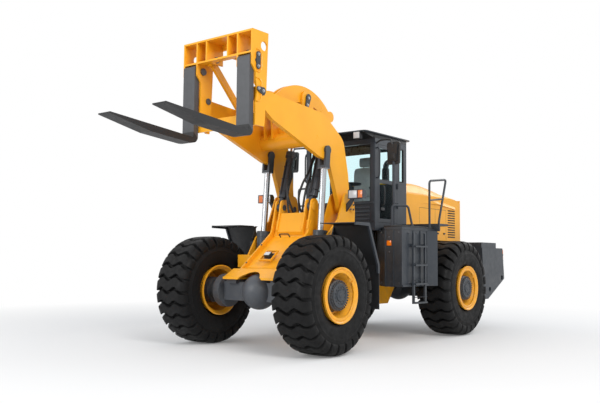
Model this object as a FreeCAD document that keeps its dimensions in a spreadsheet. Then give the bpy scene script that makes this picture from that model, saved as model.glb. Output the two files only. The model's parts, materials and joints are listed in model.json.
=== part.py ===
"""Articulated wheel forklift with a raised fork carriage, as separate named pieces.

Frame: +X forward, +Y to the operator's left, +Z up, millimetres.  The origin is on the
ground under the centre of the articulation hinge, half way between the axles.
"""
import FreeCAD, Part
import math
import os
import re
import Sketcher
from FreeCAD import Placement, Rotation, Vector

doc = FreeCAD.newDocument("fork_loader")

# ---------------------------------------------------------------- driving dimensions
SIZES = {
    "wheels": {
        "wheel_base": 3740, "track_width": 2240, "tyre_radius": 808, "tyre_width": 595,
        "tread_width": 450, "lug_count": 26, "lug_wide": 122, "lug_high": 42, "lug_wave": 22,
        "lug_margin": 8, "shoulder_drop": 150, "bead_inset": 74, "bead_radius": 335,
        "tyre_wall": 45, "rim_radius": 375, "rim_lip": 22, "hub_radius": 209, "hub_reach": 266, "spindle_radius": 80,
        "running_gap": 0.1, "seat_gap": 0.3, "hinge_knuckle": 14, "hinge_leaf": 6,
        "hinge_pin_size": 8, "hinge_length": 90,
    },
    "axles": {
        "axle_ball_radius": 256, "axle_ball_offset": 45, "axle_beam_high": 270,
        "axle_beam_long": 260, "axle_beam_end": 640, "brake_radius": 245, "brake_wide": 110,
        "pad_inner": 330, "pad_outer": 520, "pad_long": 380, "pad_thick": 40,
    },
    "pivots of the lift linkage": {
        "boom_pivot_x": 620, "boom_pivot_z": 2080,
        "fork_pivot_x": 2640, "fork_pivot_z": 3500,
        "rocker_pivot_x": 1330, "rocker_pivot_z": 3680,
        "tilt_eye_x": 700, "tilt_eye_z": 3500,
        "link_low_x": 2020, "link_low_z": 3400,
        "link_high_x": 2665, "link_high_z": 4065,
        "tilt_base_x": 1102, "tilt_base_z": 2074,
        "lift_eye_x": 1118, "lift_eye_z": 2908,
        "lift_trunnion_x": 1239, "lift_trunnion_z": 1290,
    },
    "boom and linkage": {
        "boom_plate_y": 555, "boom_thick": 70, "pin_radius": 45, "boss_radius": 95,
        "boss_proud": 12, "side_gap": 5, "cross_tube_x": 1262, "cross_tube_z": 3090,
        "cross_tube_radius": 125, "linkage_y": 297, "rocker_thick": 110, "rocker_slot": 56,
        "rocker_outer_x": 1414, "rocker_outer_z": 2951, "rocker_outer_radius": 903,
        "rocker_inner_x": 1355, "rocker_inner_z": 2807, "rocker_inner_radius": 803, "ear_thick": 30, "link_thick": 44, "link_wide": 100,
        "eye_radius": 85,
    },
    "fork carriage": {
        "carriage_half": 661, "carriage_plate": 25, "boom_notch": 110, "boom_notch_gap": 25, "carriage_front_x": 2860,
        "carriage_top_z": 4320, "carriage_bottom_z": 3040, "carriage_rear_x": 2540,
        "head_low_z": 4000, "inner_rib_y": 205, "outer_rib_y": 390, "lower_cross_z": 3200,
        "fork_inner_y": 407, "fork_width": 228, "fork_thick": 85, "fork_back_x": 2795,
        "fork_heel_z": 2880, "fork_tip_x": 4350,
        "fork_tip_thick": 22, "fork_kink_x": 3630, "shaft_radius": 50, "shaft_x": 2752,
        "shaft_z": 3905, "fork_eye_radius": 78, "fork_rise": 200,
    },
    "hydraulic cylinders": {
        "lift_bore_radius": 100, "lift_gland_radius": 109, "lift_rod_radius": 46,
        "lift_gland_reach": 415, "lift_tail": 650, "gland_length": 85,
        "trunnion_radius": 55, "trunnion_block": 150, "clevis_cheek": 34,
        "clevis_radius": 68, "tilt_bore_radius": 72, "tilt_gland_radius": 90,
        "tilt_rod_radius": 35, "tilt_gland_reach": 925, "steer_bore_radius": 48,
        "steer_rod_radius": 24, "steer_base_x": 545, "steer_base_y": 255,
        "steer_eye_x": 150, "steer_eye_y": 260, "steer_level_z": "tyre_radius + 97",
        "steer_barrel": 390,
    },
    "front frame": {
        "front_box_half": 374, "frame_plate": 28, "bend_high_x": 1274, "bend_high_z": 1674,
        "bend_low_x": 1934, "bend_low_z": 1136, "foot_front_x": "wheel_base / 2 + 270", "foot_half": 500,
        "tower_inner_y": 441, "tower_outer_y": 669, "tower_top_z": 2290,
        "lug_thick": 30, "lug_top_z": 2195, "frame_floor_z": "tyre_radius - 168",
        "hinge_high_z": "tyre_radius + 352", "hinge_low_z": "tyre_radius - 158", "hinge_plate": 50, "hinge_radius": 150,
        "hinge_pin_radius": 50, "carrier_front_x": 1640,
        "slope_plate": 24, "slope_reach": 290,
    },
    "front fenders": {
        "fender_inner_y": 780, "fender_outer_y": 1400, "fender_top_z": 1800,
        "fender_front_x": "wheel_base / 2 - 350", "fender_rear_x": "wheel_base / 2 - 690",
        "fender_foot_x": "wheel_base / 2 - 950",
        "fender_foot_z": 1210, "flap_bottom_z": 580, "fender_thick": 12,
    },
    "rear frame and body": {
        "rail_inner_y": 330, "rail_thick": 40, "rail_top_z": 1230, "rail_low_z": 800,
        "rear_end_x": 3000, "belly_z": 540, "weight_front_x": 2900, "weight_rear_x": 3820,
        "weight_half": 1200, "weight_top_z": 1515, "weight_low_z": 565,
        "weight_knee_z": 930, "hood_half": 610, "hood_front_x": 1075, "hood_rear_x": 3200,
        "hood_low_z": 1640, "hood_top_z": 2560, "hood_break_z": 2440, "hood_rear_z": 2410,
        "hood_sheet": 14, "louvre_count": 12, "louvre_long": 300, "louvre_high": 24,
        "louvre_pitch": 45, "louvre_deep": 8, "louvre_rear_gap": 210, "louvre_low_gap": 60,
    },
    "cab and platform": {
        "cab_front_x": -40, "cab_rear_x": 1020, "cab_half": 700, "cab_floor_z": 1880,
        "cab_top_z": 3240, "cab_wall": 40, "post_wide": 90, "glass_thick": 8,
        "roof_front_x": 320, "roof_rear_x": 1110, "roof_half": 720, "roof_thick": 90,
        "sill_z": 2580, "deck_z": 1800, "deck_thick": 50, "deck_front_x": 145,
        "deck_rear_x": 1180, "deck_outer_y": 1310, "tank_low_z": 870, "tank_rear_x": 860,
        "tank_inner_y": 885, "tank_outer_y": 1300, "door_rear_x": 720,
        "steer_wheel_radius": 190, "steer_wheel_grip": 16,
    },
    "lamps and rails": {
        "lamp_wide": 270, "lamp_high": 134, "lamp_deep": 95, "lamp_rim": 10, "lamp_inner_y": 770,
        "lamp_front_x": 815, "lamp_low_z": 2192, "lamp_bracket": 24,
        "rail_radius": 18, "rail_high": 330, "rail_front_x": 50, "rail_front_y": 1070,
        "rail_rear_x": -200, "rail_rear_y": 1290, "rail_lean": 70,
    },
}


def fill_sheet():
    """One row per size: its name beside its plain number, which carries the alias."""
    sheet = doc.addObject("Spreadsheet::Sheet", "Sizes")
    row = 1
    for group, sizes in SIZES.items():
        sheet.set(f"A{row}", group)
        for alias, number in sizes.items():
            row += 1
            sheet.set(f"A{row}", alias)
            sheet.set(f"B{row}", f"={number}" if isinstance(number, str) else str(number))
            sheet.setAlias(f"B{row}", alias)
        row += 2
    doc.recompute()
    return sheet


sheet = fill_sheet()
ALIAS = re.compile(r"\b[a-z]+(?:_[a-z]+)+\b")


def cell(text):
    """An expression in size names, written the way the document's expressions need it."""
    return ALIAS.sub(lambda word: "Sizes." + word.group(0), str(text))


def value(text):
    """The number that an expression in size names stands for."""
    return float(sheet.evalExpression(cell(text)))


# ---------------------------------------------------------------- building blocks
def box(name, x, y, z):
    """A block from (low, high) pairs along the three axes."""
    block = doc.addObject("Part::Box", name)
    for size, place, (low, high) in zip(("Length", "Width", "Height"), "xyz", (x, y, z)):
        block.setExpression(size, cell(f"({high}) - ({low})"))
        block.setExpression(f"Placement.Base.{place}", cell(low))
    return block


UPRIGHT = {"x": Rotation(Vector(0, 1, 0), 90), "y": Rotation(Vector(1, 0, 0), -90),
           "z": Rotation()}


def cylinder(name, axis, centre, radius, low, high):
    """A cylinder along an axis; centre gives the other two coordinates in x, y, z order."""
    solid = doc.addObject("Part::Cylinder", name)
    solid.Placement = Placement(Vector(), UPRIGHT[axis])
    solid.setExpression("Radius", cell(radius))
    solid.setExpression("Height", cell(f"({high}) - ({low})"))
    others = [letter for letter in "xyz" if letter != axis]
    for letter, place in zip(others, centre):
        solid.setExpression(f"Placement.Base.{letter}", cell(place))
    solid.setExpression(f"Placement.Base.{axis}", cell(low))
    return solid


def ball(name, centre, radius):
    solid = doc.addObject("Part::Sphere", name)
    solid.setExpression("Radius", cell(radius))
    for letter, place in zip("xyz", centre):
        solid.setExpression(f"Placement.Base.{letter}", cell(place))
    return solid


def fuse(name, *parts):
    joined = doc.addObject("Part::MultiFuse", name)
    joined.Shapes = list(parts)
    joined.Refine = True
    return joined


def cut(name, base, *tools):
    tool = tools[0] if len(tools) == 1 else fuse(name + "_tool", *tools)
    result = doc.addObject("Part::Cut", name)
    result.Base = base
    result.Tool = tool
    return result


def common(name, base, tool):
    result = doc.addObject("Part::Common", name)
    result.Base = base
    result.Tool = tool
    return result


def group(name, *parts):
    bundle = doc.addObject("Part::Compound", name)
    bundle.Links = list(parts)
    return bundle


def mirrored(name, source):
    copy = doc.addObject("Part::Mirroring", name)
    copy.Source = source
    copy.Base = Vector()
    copy.Normal = Vector(0, 1, 0)
    return copy


def both_sides(name, source):
    return group(name, source, mirrored(name + "_right", source))


def ring(name, axis, centre, bore, radius, low, high):
    return cut(name, cylinder(name + "_outside", axis, centre, radius, low, high),
               cylinder(name + "_bore", axis, centre, bore, f"({low}) - 1", f"({high}) + 1"))


def plane_sketch(body, plane, offset="0"):
    """A sketch on one of the body's own origin planes, moved along its normal."""
    sketch = body.newObject("Sketcher::SketchObject", body.Name + "_sketch")
    origin = next(part for part in body.Origin.OriginFeatures if part.Role == plane)
    sketch.AttachmentSupport = [(origin, "")]
    sketch.MapMode = "FlatFace"
    sketch.setExpression("AttachmentOffset.Base.z", cell(offset))
    return sketch


def outline(sketch, corners):
    """A closed outline through the corners; a third value rounds its corner."""
    spots = [Vector(value(corner[0]), value(corner[1]), 0) for corner in corners]
    radii = [value(corner[2]) if len(corner) > 2 else 0 for corner in corners]
    count = len(corners)
    arrivals, departures, centres = [], [], []
    for index, spot in enumerate(spots):
        back = (spots[index - 1] - spot).normalize()
        ahead = (spots[(index + 1) % count] - spot).normalize()
        half_turn = back.getAngle(ahead) / 2
        reach = radii[index] / math.tan(half_turn)
        arrivals.append(spot + back * reach)
        departures.append(spot + ahead * reach)
        middle = back + ahead
        depth = radii[index] / math.sin(half_turn)
        centres.append(spot + middle * (depth / max(middle.Length, 1e-9)))
    lines = [sketch.addGeometry(Part.LineSegment(departures[index],
                                                 arrivals[(index + 1) % count]), False)
             for index in range(count)]
    rules, sizes = [], []
    for index, corner in enumerate(corners):
        arriving, leaving = lines[index - 1], lines[index]
        if radii[index]:
            pin = sketch.addGeometry(Part.Point(spots[index]), True)
            start, end = arrivals[index] - centres[index], departures[index] - centres[index]
            turns_left = start.cross(end).z > 0
            first, last = (start, end) if turns_left else (end, start)
            circle = Part.Circle(centres[index], Vector(0, 0, 1), radii[index])
            sweep = math.atan2(last.y, last.x) - math.atan2(first.y, first.x)
            begin = math.atan2(first.y, first.x)
            arc = sketch.addGeometry(
                Part.ArcOfCircle(circle, begin, begin + sweep % (2 * math.pi)), False)
            meets = (1, 2) if turns_left else (2, 1)
            rules += [Sketcher.Constraint("Tangent", arc, meets[0], arriving, 2),
                      Sketcher.Constraint("Tangent", arc, meets[1], leaving, 1),
                      Sketcher.Constraint("PointOnObject", pin, 1, arriving),
                      Sketcher.Constraint("PointOnObject", pin, 1, leaving),
                      Sketcher.Constraint("Radius", arc, radii[index])]
            sizes.append((len(rules) - 1, corner[2]))
        else:
            pin = leaving
            rules.append(Sketcher.Constraint("Coincident", arriving, 2, leaving, 1))
        for kind, along, place in (("DistanceX", spots[index].x, corner[0]),
                                   ("DistanceY", spots[index].y, corner[1])):
            rules.append(Sketcher.Constraint(kind, -1, 1, pin, 1, along))
            sizes.append((len(rules) - 1, place))
    bind(sketch, rules, sizes)


def round_hole(sketch, centre, radius):
    circle = sketch.addGeometry(Part.Circle(Vector(value(centre[0]), value(centre[1]), 0),
                                            Vector(0, 0, 1), value(radius)), False)
    rules = [Sketcher.Constraint("DistanceX", -1, 1, circle, 3, value(centre[0])),
             Sketcher.Constraint("DistanceY", -1, 1, circle, 3, value(centre[1])),
             Sketcher.Constraint("Radius", circle, value(radius))]
    bind(sketch, rules, [(0, centre[0]), (1, centre[1]), (2, radius)])


def bind(sketch, rules, sizes):
    """Add the rules and tie each listed one to its expression."""
    first = sketch.ConstraintCount
    sketch.addConstraint(rules)
    for index, text in sizes:
        sketch.setExpression(f"Constraints[{first + index}]", cell(text))


PLANES = {"xz": ("XZ_Plane", -1), "xy": ("XY_Plane", 1), "yz": ("YZ_Plane", 1)}


def plate(name, plane, corners, low, high, holes=()):
    """A pad of an outline drawn in a plane, from low to high along the plane's axis."""
    body = doc.addObject("PartDesign::Body", name)
    role, normal = PLANES[plane]
    sketch = plane_sketch(body, role, f"-({high})" if normal < 0 else low)
    outline(sketch, corners)
    for centre, radius in holes:
        round_hole(sketch, centre, radius)
    pad = body.newObject("PartDesign::Pad", name + "_pad")
    pad.Profile = sketch
    pad.setExpression("Length", cell(f"({high}) - ({low})"))
    return body


def turned(name, corners):
    """A solid turned about the Y axis from an outline of (radius, place along Y)."""
    body = doc.addObject("PartDesign::Body", name)
    sketch = plane_sketch(body, "XY_Plane")
    outline(sketch, corners)
    turn = body.newObject("PartDesign::Revolution", name + "_turn")
    turn.Profile = sketch
    turn.ReferenceAxis = (sketch, ["V_Axis"])
    turn.Angle = 360
    return body


def placed(solid, x="0", y="0", z="0"):
    for letter, place in zip("xyz", (x, y, z)):
        solid.setExpression(f"Placement.Base.{letter}", cell(place))
    return solid


def aimed(solid, base, tip):
    """Stand a solid built up the Z axis on the point base (x, z), leaning to tip (x, z)."""
    solid.Placement = Placement(Vector(), Rotation(Vector(0, 1, 0), 30))
    rise, run = f"({tip[1]}) - ({base[1]})", f"({tip[0]}) - ({base[0]})"
    solid.setExpression("Placement.Rotation.Angle", cell(f"atan2({run}; {rise})"))
    solid.setExpression("Placement.Base.x", cell(base[0]))
    solid.setExpression("Placement.Base.z", cell(base[1]))
    return solid


def distance(base, tip):
    return f"sqrt((({tip[0]}) - ({base[0]})) ^ 2 + (({tip[1]}) - ({base[1]})) ^ 2)"


NODES = {}


def node(label, *parts):
    """Register a sub-part: one object, or a bundle of separate solids."""
    final = parts[0] if len(parts) == 1 else group(label + "_pieces", *parts)
    final.Label = label
    NODES[label] = final


BOOM_PIVOT = ("boom_pivot_x", "boom_pivot_z")
FORK_PIVOT = ("fork_pivot_x", "fork_pivot_z")
ROCKER_PIVOT = ("rocker_pivot_x", "rocker_pivot_z")
TILT_EYE = ("tilt_eye_x", "tilt_eye_z")
TILT_BASE = ("tilt_base_x", "tilt_base_z")
LINK_LOW = ("link_low_x", "link_low_z")
LINK_HIGH = ("link_high_x", "link_high_z")
LIFT_EYE = ("lift_eye_x", "lift_eye_z")
TRUNNION = ("lift_trunnion_x", "lift_trunnion_z")
PIN_BORE = "pin_radius + running_gap"
BOOM_IN = "boom_plate_y - boom_thick / 2"
BOOM_OUT = "boom_plate_y + boom_thick / 2"


# ---------------------------------------------------------------- wheels and axles
def build_tyre_form():
    """The tyre round the origin, in flat-sided sectors that each carry one wavy lug."""
    half, shoulder = "tyre_width / 2", "tread_width / 2"
    floor, wall = "tyre_radius - lug_high", "tyre_radius - shoulder_drop"
    profile = plate("TyreProfile", "yz", [
        (f"{half} - bead_inset", "bead_radius"), (half, wall), (shoulder, floor),
        (f"-{shoulder}", floor), (f"-{half}", wall), (f"bead_inset - {half}", "bead_radius"),
        (f"bead_inset + tyre_wall - {half}", "bead_radius"),
        (f"tyre_wall - {half}", f"{wall} - tyre_wall"),
        (f"{half} - tyre_wall", f"{wall} - tyre_wall"),
        (f"{half} - bead_inset - tyre_wall", "bead_radius")],
        "-tyre_radius / 4", "tyre_radius / 4")
    spread = "tyre_radius * 1.2 * tan(180 deg / lug_count)"
    wedge = plate("TyreWedge", "xz", [
        ("0", "0"), (f"-({spread})", "tyre_radius * 1.2"), (spread, "tyre_radius * 1.2")],
        f"-{half} - 1", f"{half} + 1")
    sector = common("TyreSector", profile, wedge)
    wave = [("lug_margin - tyre_width / 2", "lug_wave"), ("0", "-lug_wave"), ("tyre_width / 2 - lug_margin", "lug_wave")]
    corners = [(f"({shift}) + lug_wide / 2", y) for y, shift in wave]
    corners += [(f"({shift}) - lug_wide / 2", y) for y, shift in reversed(wave)]
    crown = "tyre_radius"
    blank = plate("LugBlank", "xy", corners, wall, crown)
    side = plate("LugSide", "yz", [
        ("lug_margin - tyre_width / 2", wall), (f"-{shoulder}", crown), (shoulder, crown), ("tyre_width / 2 - lug_margin", wall)],
        "-tyre_radius / 4", "tyre_radius / 4")
    block = fuse("TyreBlock", sector, common("Lug", blank, side))
    sectors = []
    for index in range(int(value("lug_count"))):
        copy = group(f"TyreSector{index}", block)
        copy.Placement = Placement(Vector(), Rotation(Vector(0, 1, 0), 10))
        copy.setExpression("Placement.Rotation.Angle", cell(f"360 deg / lug_count * {index}"))
        sectors.append(copy)
    return fuse("TyreForm", *sectors)


def build_wheel(place, x, side):
    """Tyre, and rim with its hub, for one corner; side is +1 on the left."""
    half = "tyre_width / 2"
    tyre = group(f"Tyre_{place}", doc.getObject("TyreForm"))
    seat = "bead_radius"
    rim = turned(f"Rim_{place}", [
        (seat, f"70 - {half}"), ("rim_radius", f"rim_lip - {half}"),
        ("rim_radius", f"-6 - {half}"), ("rim_radius - 14", f"-6 - {half}"),
        (f"{seat} - 22", f"40 - {half}"),
        (f"{seat} - 22", "60"), ("hub_radius + 40", "110"), ("hub_radius", "110"),
        ("hub_radius", "135"), ("hub_radius + 40", "135"), (f"{seat} - 30", f"{half} - 40"),
        ("rim_radius - 14", f"{half} + 6"), ("rim_radius", f"{half} + 6"),
        ("rim_radius", f"{half} - rim_lip"), (seat, f"{half} - 70"), (seat, "0")])
    bore = "spindle_radius + running_gap"
    hub = turned(f"Hub_{place}", [
        (bore, "-200"), ("hub_radius - 20", "-200"), ("hub_radius - 10", "108"),
        ("hub_radius + 60", "108"), ("hub_radius + 60", "136", "6"),
        ("hub_radius", "137"), ("hub_radius", "hub_reach - 30", "12"),
        ("hub_radius - 45", "hub_reach", "8"), ("0", "hub_reach"), ("0", "30"), (bore, "30")])
    wheel = fuse(f"RimHub_{place}", rim, hub)
    for solid in (tyre, wheel):
        turn = Rotation() if side > 0 else Rotation(Vector(1, 0, 0), 180)
        solid.Placement = Placement(Vector(), turn)
        placed(solid, x, f"{side} * track_width / 2", "tyre_radius")
    node(f"tyre_{place}", tyre)
    node(f"rim_{place}", wheel)


def build_axle(label, x, outward):
    """Rigid axle: bowl-shaped housing, square beams, brakes and wheel spindles."""
    level, offset = "tyre_radius", f"({x}) + {outward} * axle_ball_offset"
    bowl = ball(f"{label}_bowl", (offset, "0", level), "axle_ball_radius")
    nose = cylinder(f"{label}_nose", "x", ("0", level), "110",
                    *sorted_pair(f"({x}) - {outward} * 400", offset, outward))
    flange = cylinder(f"{label}_flange", "x", ("0", level), "90",
                      *sorted_pair(f"({x}) - {outward} * 430", f"({x}) - {outward} * 400",
                                   outward))
    half_long, half_high = "axle_beam_long / 2", "axle_beam_high / 2"
    beam = box(f"{label}_beam", (f"({x}) - {half_long}", f"({x}) + {half_long}"),
               ("-axle_beam_end", "axle_beam_end"),
               (f"{level} - {half_high}", f"{level} + {half_high}"))
    parts = [bowl, nose, flange, beam]
    inner_face = "track_width / 2 - 200 - side_gap"
    for side, sign in (("left", 1), ("right", -1)):
        spans = [("brake", "brake_radius", "axle_beam_end - 10", "axle_beam_end + brake_wide"),
                 ("tube", "130", "axle_beam_end", inner_face),
                 ("spindle", "spindle_radius", inner_face, "track_width / 2")]
        for piece, radius, low, high in spans:
            ends = (low, high) if sign > 0 else (f"-({high})", f"-({low})")
            parts.append(cylinder(f"{label}_{piece}_{side}", "y", (x, level), radius, *ends))
        low, high = ("pad_inner", "pad_outer") if sign > 0 else ("-pad_outer", "-pad_inner")
        top = f"{level} + {half_high}"
        parts.append(box(f"{label}_pad_{side}", (f"({x}) - pad_long / 2", f"({x}) + pad_long / 2"),
                         (low, high), (f"{top} - 20", f"{top} + pad_thick")))
    node(label, fuse(f"{label}_solid", *parts))


def sorted_pair(first, second, outward):
    """Two places along X, lowest first, for an axle that faces forward or back."""
    return (first, second) if outward > 0 else (second, first)


AXLE_SEAT = "tyre_radius + axle_beam_high / 2 + pad_thick"


# ---------------------------------------------------------------- boom and linkage
def build_boom():
    """Two bent side plates on a cross tube that carries the rocker's ears."""
    corners = [
        ("boom_pivot_x - 115", "boom_pivot_z + 40", "90"),
        ("boom_pivot_x - 70", "boom_pivot_z + 500", "300"),
        ("boom_pivot_x + 60", "boom_pivot_z + 1030", "250"),
        ("rocker_pivot_x - 150", "rocker_pivot_z - 230", "260"),
        ("fork_pivot_x - 130", "fork_pivot_z + 62", "60"),
        ("fork_pivot_x + 80", "fork_pivot_z + 30", "60"),
        ("fork_pivot_x + 20", "fork_pivot_z - 110", "60"),
        ("fork_pivot_x - 290", "fork_pivot_z - 313", "300"),
        ("lift_eye_x + 150", "lift_eye_z - 120", "150"),
        ("lift_eye_x - 70", "lift_eye_z - 150", "90"),
        ("boom_pivot_x + 150", "boom_pivot_z - 20", "90"),
        ("boom_pivot_x + 20", "boom_pivot_z - 125", "80"),
        ("boom_pivot_x - 90", "boom_pivot_z - 80", "80")]
    holes = [(BOOM_PIVOT, PIN_BORE), (FORK_PIVOT, PIN_BORE)]
    side = plate("BoomPlate", "xz", corners, BOOM_IN, BOOM_OUT, holes)
    bosses = [ring(f"Boom{name}Boss", "y", centre, PIN_BORE, "boss_radius",
                   f"{BOOM_IN} - boss_proud", f"{BOOM_OUT} + boss_proud")
              for name, centre in (("Foot", BOOM_PIVOT), ("Tip", FORK_PIVOT))]
    left = fuse("BoomSide", side, *bosses)
    tube = ring("BoomTube", "y", ("cross_tube_x", "cross_tube_z"),
                "cross_tube_radius - 20", "cross_tube_radius",
                f"-({BOOM_IN}) - 10", f"{BOOM_IN} + 10")
    web = plate("BoomWeb", "xz", [
        ("cross_tube_x - 20", "cross_tube_z + cross_tube_radius - 20"),
        ("cross_tube_x + 20", "cross_tube_z + cross_tube_radius - 20"),
        ("cross_tube_x + 20", "cross_tube_z + cross_tube_radius + 90"),
        ("cross_tube_x - 20", "cross_tube_z + cross_tube_radius + 90")],
        f"-({BOOM_IN}) - 10", f"{BOOM_IN} + 10")
    ears = []
    for name, middle in (("Inner", "linkage_y - rocker_thick / 2 - side_gap - ear_thick / 2"),
                         ("Outer", "linkage_y + rocker_thick / 2 + side_gap + ear_thick / 2")):
        ears.append(plate(f"RockerEar{name}", "xz", [
            ("cross_tube_x - cross_tube_radius + 10", "cross_tube_z + 30"),
            ("cross_tube_x + cross_tube_radius + 40", "cross_tube_z + 30"),
            ("rocker_pivot_x + 120", "rocker_pivot_z - 120", "60"),
            ("rocker_pivot_x + 120", "rocker_pivot_z + 105", "100"),
            ("rocker_pivot_x - 120", "rocker_pivot_z + 105", "100"),
            ("rocker_pivot_x - 150", "rocker_pivot_z - 150", "60")],
            f"{middle} - ear_thick / 2", f"{middle} + ear_thick / 2",
            [(ROCKER_PIVOT, PIN_BORE)]))
    parts = [left, mirrored("BoomSideRight", left), tube, web, *ears,
             *(mirrored(f"{ear.Name}Right", ear) for ear in ears)]
    node("boom", fuse("BoomSolid", *parts))
    foot_pin = cylinder("FootPin", "y", BOOM_PIVOT, "pin_radius",
                        "tower_inner_y - frame_plate", "tower_outer_y + frame_plate + 6")
    node("boom_foot_pins", both_sides("FootPins", foot_pin))


def build_rocker():
    """Two arched arms, forked at both ends, and the pins they turn on."""
    low, high = "linkage_y - rocker_thick / 2", "linkage_y + rocker_thick / 2"
    arch = cut("RockerArch", cylinder("RockerOutside", "y", ("rocker_outer_x", "rocker_outer_z"),
                                      "rocker_outer_radius", low, high),
               cylinder("RockerInside", "y", ("rocker_inner_x", "rocker_inner_z"),
                        "rocker_inner_radius", f"{low} - 1", f"{high} + 1"))
    keep = plate("RockerKeep", "xz", [
        ("rocker_pivot_x", "tilt_eye_z - 300"), ("link_low_x", "link_low_z"),
        ("link_low_x + 300", "rocker_pivot_z + 700"), ("tilt_eye_x - 300", "rocker_pivot_z + 700"),
        ("tilt_eye_x", "tilt_eye_z")],
        f"{low} - 10", f"{high} + 10")
    band = doc.addObject("Part::Common", "RockerBand")
    band.Base = arch
    band.Tool = keep
    eyes = [cylinder(f"RockerEye{name}", "y", spot, "eye_radius", low, high)
            for name, spot in (("Rear", TILT_EYE), ("Front", LINK_LOW))]
    boss = cylinder("RockerBoss", "y", ROCKER_PIVOT, "boss_radius", low, high)
    slot_span = ("linkage_y - rocker_slot / 2", "linkage_y + rocker_slot / 2")
    slots = [cylinder("RockerSlotRear", "y", TILT_EYE, "eye_radius + 150", *slot_span),
             box("RockerSlotFront", ("rocker_pivot_x + boss_radius + 40", "link_low_x + 150"),
                 slot_span, ("link_low_z - 150", "rocker_pivot_z + 300"))]
    bores = [cylinder("RockerPivotBore", "y", ROCKER_PIVOT, PIN_BORE,
                      f"{low} - 1", f"{high} + 1")]
    arm = cut("RockerArm", fuse("RockerBlank", band, *eyes, boss), *slots, *bores)
    node("rocker_arms", both_sides("RockerArms", arm))
    reach = "rocker_thick / 2 + side_gap + ear_thick + 8"
    pin = cylinder("RockerPin", "y", ROCKER_PIVOT, "pin_radius",
                   f"linkage_y - ({reach})", f"linkage_y + {reach}")
    node("rocker_pins", both_sides("RockerPins", pin))


def build_links():
    """The straight bars from the rocker's front ends up to the top of the carriage."""
    low, high = "linkage_y - link_thick / 2", "linkage_y + link_thick / 2"
    length = distance(LINK_LOW, LINK_HIGH)
    bar = box("LinkBar", ("-link_wide / 2", "link_wide / 2"), (low, high), ("0", length))
    foot = cylinder("LinkFoot", "y", ("0", "0"), "eye_radius - 10", low, high)
    head = cylinder("LinkHead", "y", ("0", length), "eye_radius - 10",
                    f"{low} - 20", f"{high} + 20")
    bore = cylinder("LinkBore", "y", ("0", length), PIN_BORE, f"{low} - 30", f"{high} + 30")
    bar_solid = aimed(cut("LinkSolid", fuse("LinkBlank", bar, foot, head), bore),
                      LINK_LOW, LINK_HIGH)
    node("tilt_links", both_sides("TiltLinks", bar_solid))
    pin = cylinder("LinkPin", "y", LINK_HIGH, "pin_radius",
                   "inner_rib_y - carriage_plate", "outer_rib_y + carriage_plate")
    node("link_pins", both_sides("LinkPins", pin))


# ---------------------------------------------------------------- fork carriage
def build_carriage():
    """Open box head, side cheeks, inner plates and the lower cross plate."""
    outer_low, outer_high = "carriage_half - carriage_plate", "carriage_half"
    cheek = plate("CarriageCheek", "xz", [
        ("carriage_rear_x", "carriage_top_z"), ("carriage_front_x", "carriage_top_z"),
        ("carriage_front_x", "shaft_z - 60", "40"), ("fork_back_x - 10", "shaft_z - 160"),
        ("fork_back_x - 10", "fork_pivot_z + 170"), ("fork_back_x - 40", "fork_pivot_z"),
        ("fork_back_x - 10", "fork_pivot_z - 170"), ("fork_back_x - 10", "carriage_bottom_z"),
        ("carriage_rear_x + 60", "carriage_bottom_z"), ("carriage_rear_x + 30", "fork_pivot_z")],
        outer_low, outer_high,
        [(("carriage_rear_x + 85", "head_low_z + 126"), "65"), (FORK_PIVOT, PIN_BORE),
         (("shaft_x", "shaft_z"), "shaft_radius + running_gap")])
    inner = plate("CarriageInner", "xz", [
        ("carriage_rear_x", "carriage_top_z"), ("carriage_front_x", "carriage_top_z"),
        ("carriage_front_x", "shaft_z - 60", "40"), ("fork_back_x - 10", "shaft_z - 160"),
        ("fork_back_x - 10", "lower_cross_z + 60"), ("carriage_rear_x + 130", "carriage_bottom_z"),
        ("carriage_rear_x + 60", "carriage_bottom_z"), ("carriage_rear_x + 30", "fork_pivot_z")],
        "outer_rib_y - carriage_plate / 2", "outer_rib_y + carriage_plate / 2",
        [(LINK_HIGH, PIN_BORE), (FORK_PIVOT, PIN_BORE),
         (("shaft_x", "shaft_z"), "shaft_radius + running_gap")])
    rib = plate("CarriageRib", "xz", [
        ("carriage_rear_x", "carriage_top_z"), ("carriage_front_x", "carriage_top_z"),
        ("carriage_front_x", "head_low_z"), ("carriage_rear_x", "head_low_z")],
        "inner_rib_y - carriage_plate / 2", "inner_rib_y + carriage_plate / 2",
        [(LINK_HIGH, PIN_BORE)])
    sides = [part for half in (cheek, inner, rib)
             for part in (half, mirrored(half.Name + "Right", half))]
    width = ("-carriage_half", "carriage_half")
    between = f"{BOOM_IN} - boom_notch_gap"
    top = plate("CarriageTop", "xy", [
        ("carriage_rear_x", between), ("carriage_rear_x + boom_notch", between),
        ("carriage_rear_x + boom_notch", "carriage_half"), ("carriage_front_x", "carriage_half"),
        ("carriage_front_x", "-carriage_half"), ("carriage_rear_x + boom_notch", "-carriage_half"),
        ("carriage_rear_x + boom_notch", f"-({between})"), ("carriage_rear_x", f"-({between})")],
        "carriage_top_z - carriage_plate", "carriage_top_z")
    floor = box("CarriageShelf", ("carriage_front_x - 112", "carriage_front_x"), width,
                ("head_low_z", "head_low_z + carriage_plate"))
    back = box("CarriageBack", ("carriage_rear_x", "carriage_rear_x + carriage_plate"),
               (f"-({between})", between), ("carriage_top_z - 105", "carriage_top_z"))
    cross = box("CarriageCross", ("fork_back_x - 45", "fork_back_x - 15"), width,
                ("carriage_bottom_z", "lower_cross_z"))
    node("carriage_frame", fuse("CarriageSolid", *sides, top, floor, back, cross))
    pin = cylinder("ForkPin", "y", FORK_PIVOT, "pin_radius",
                   "outer_rib_y - carriage_plate", "carriage_half + 8")
    node("carriage_pins", both_sides("ForkPins", pin))


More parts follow.
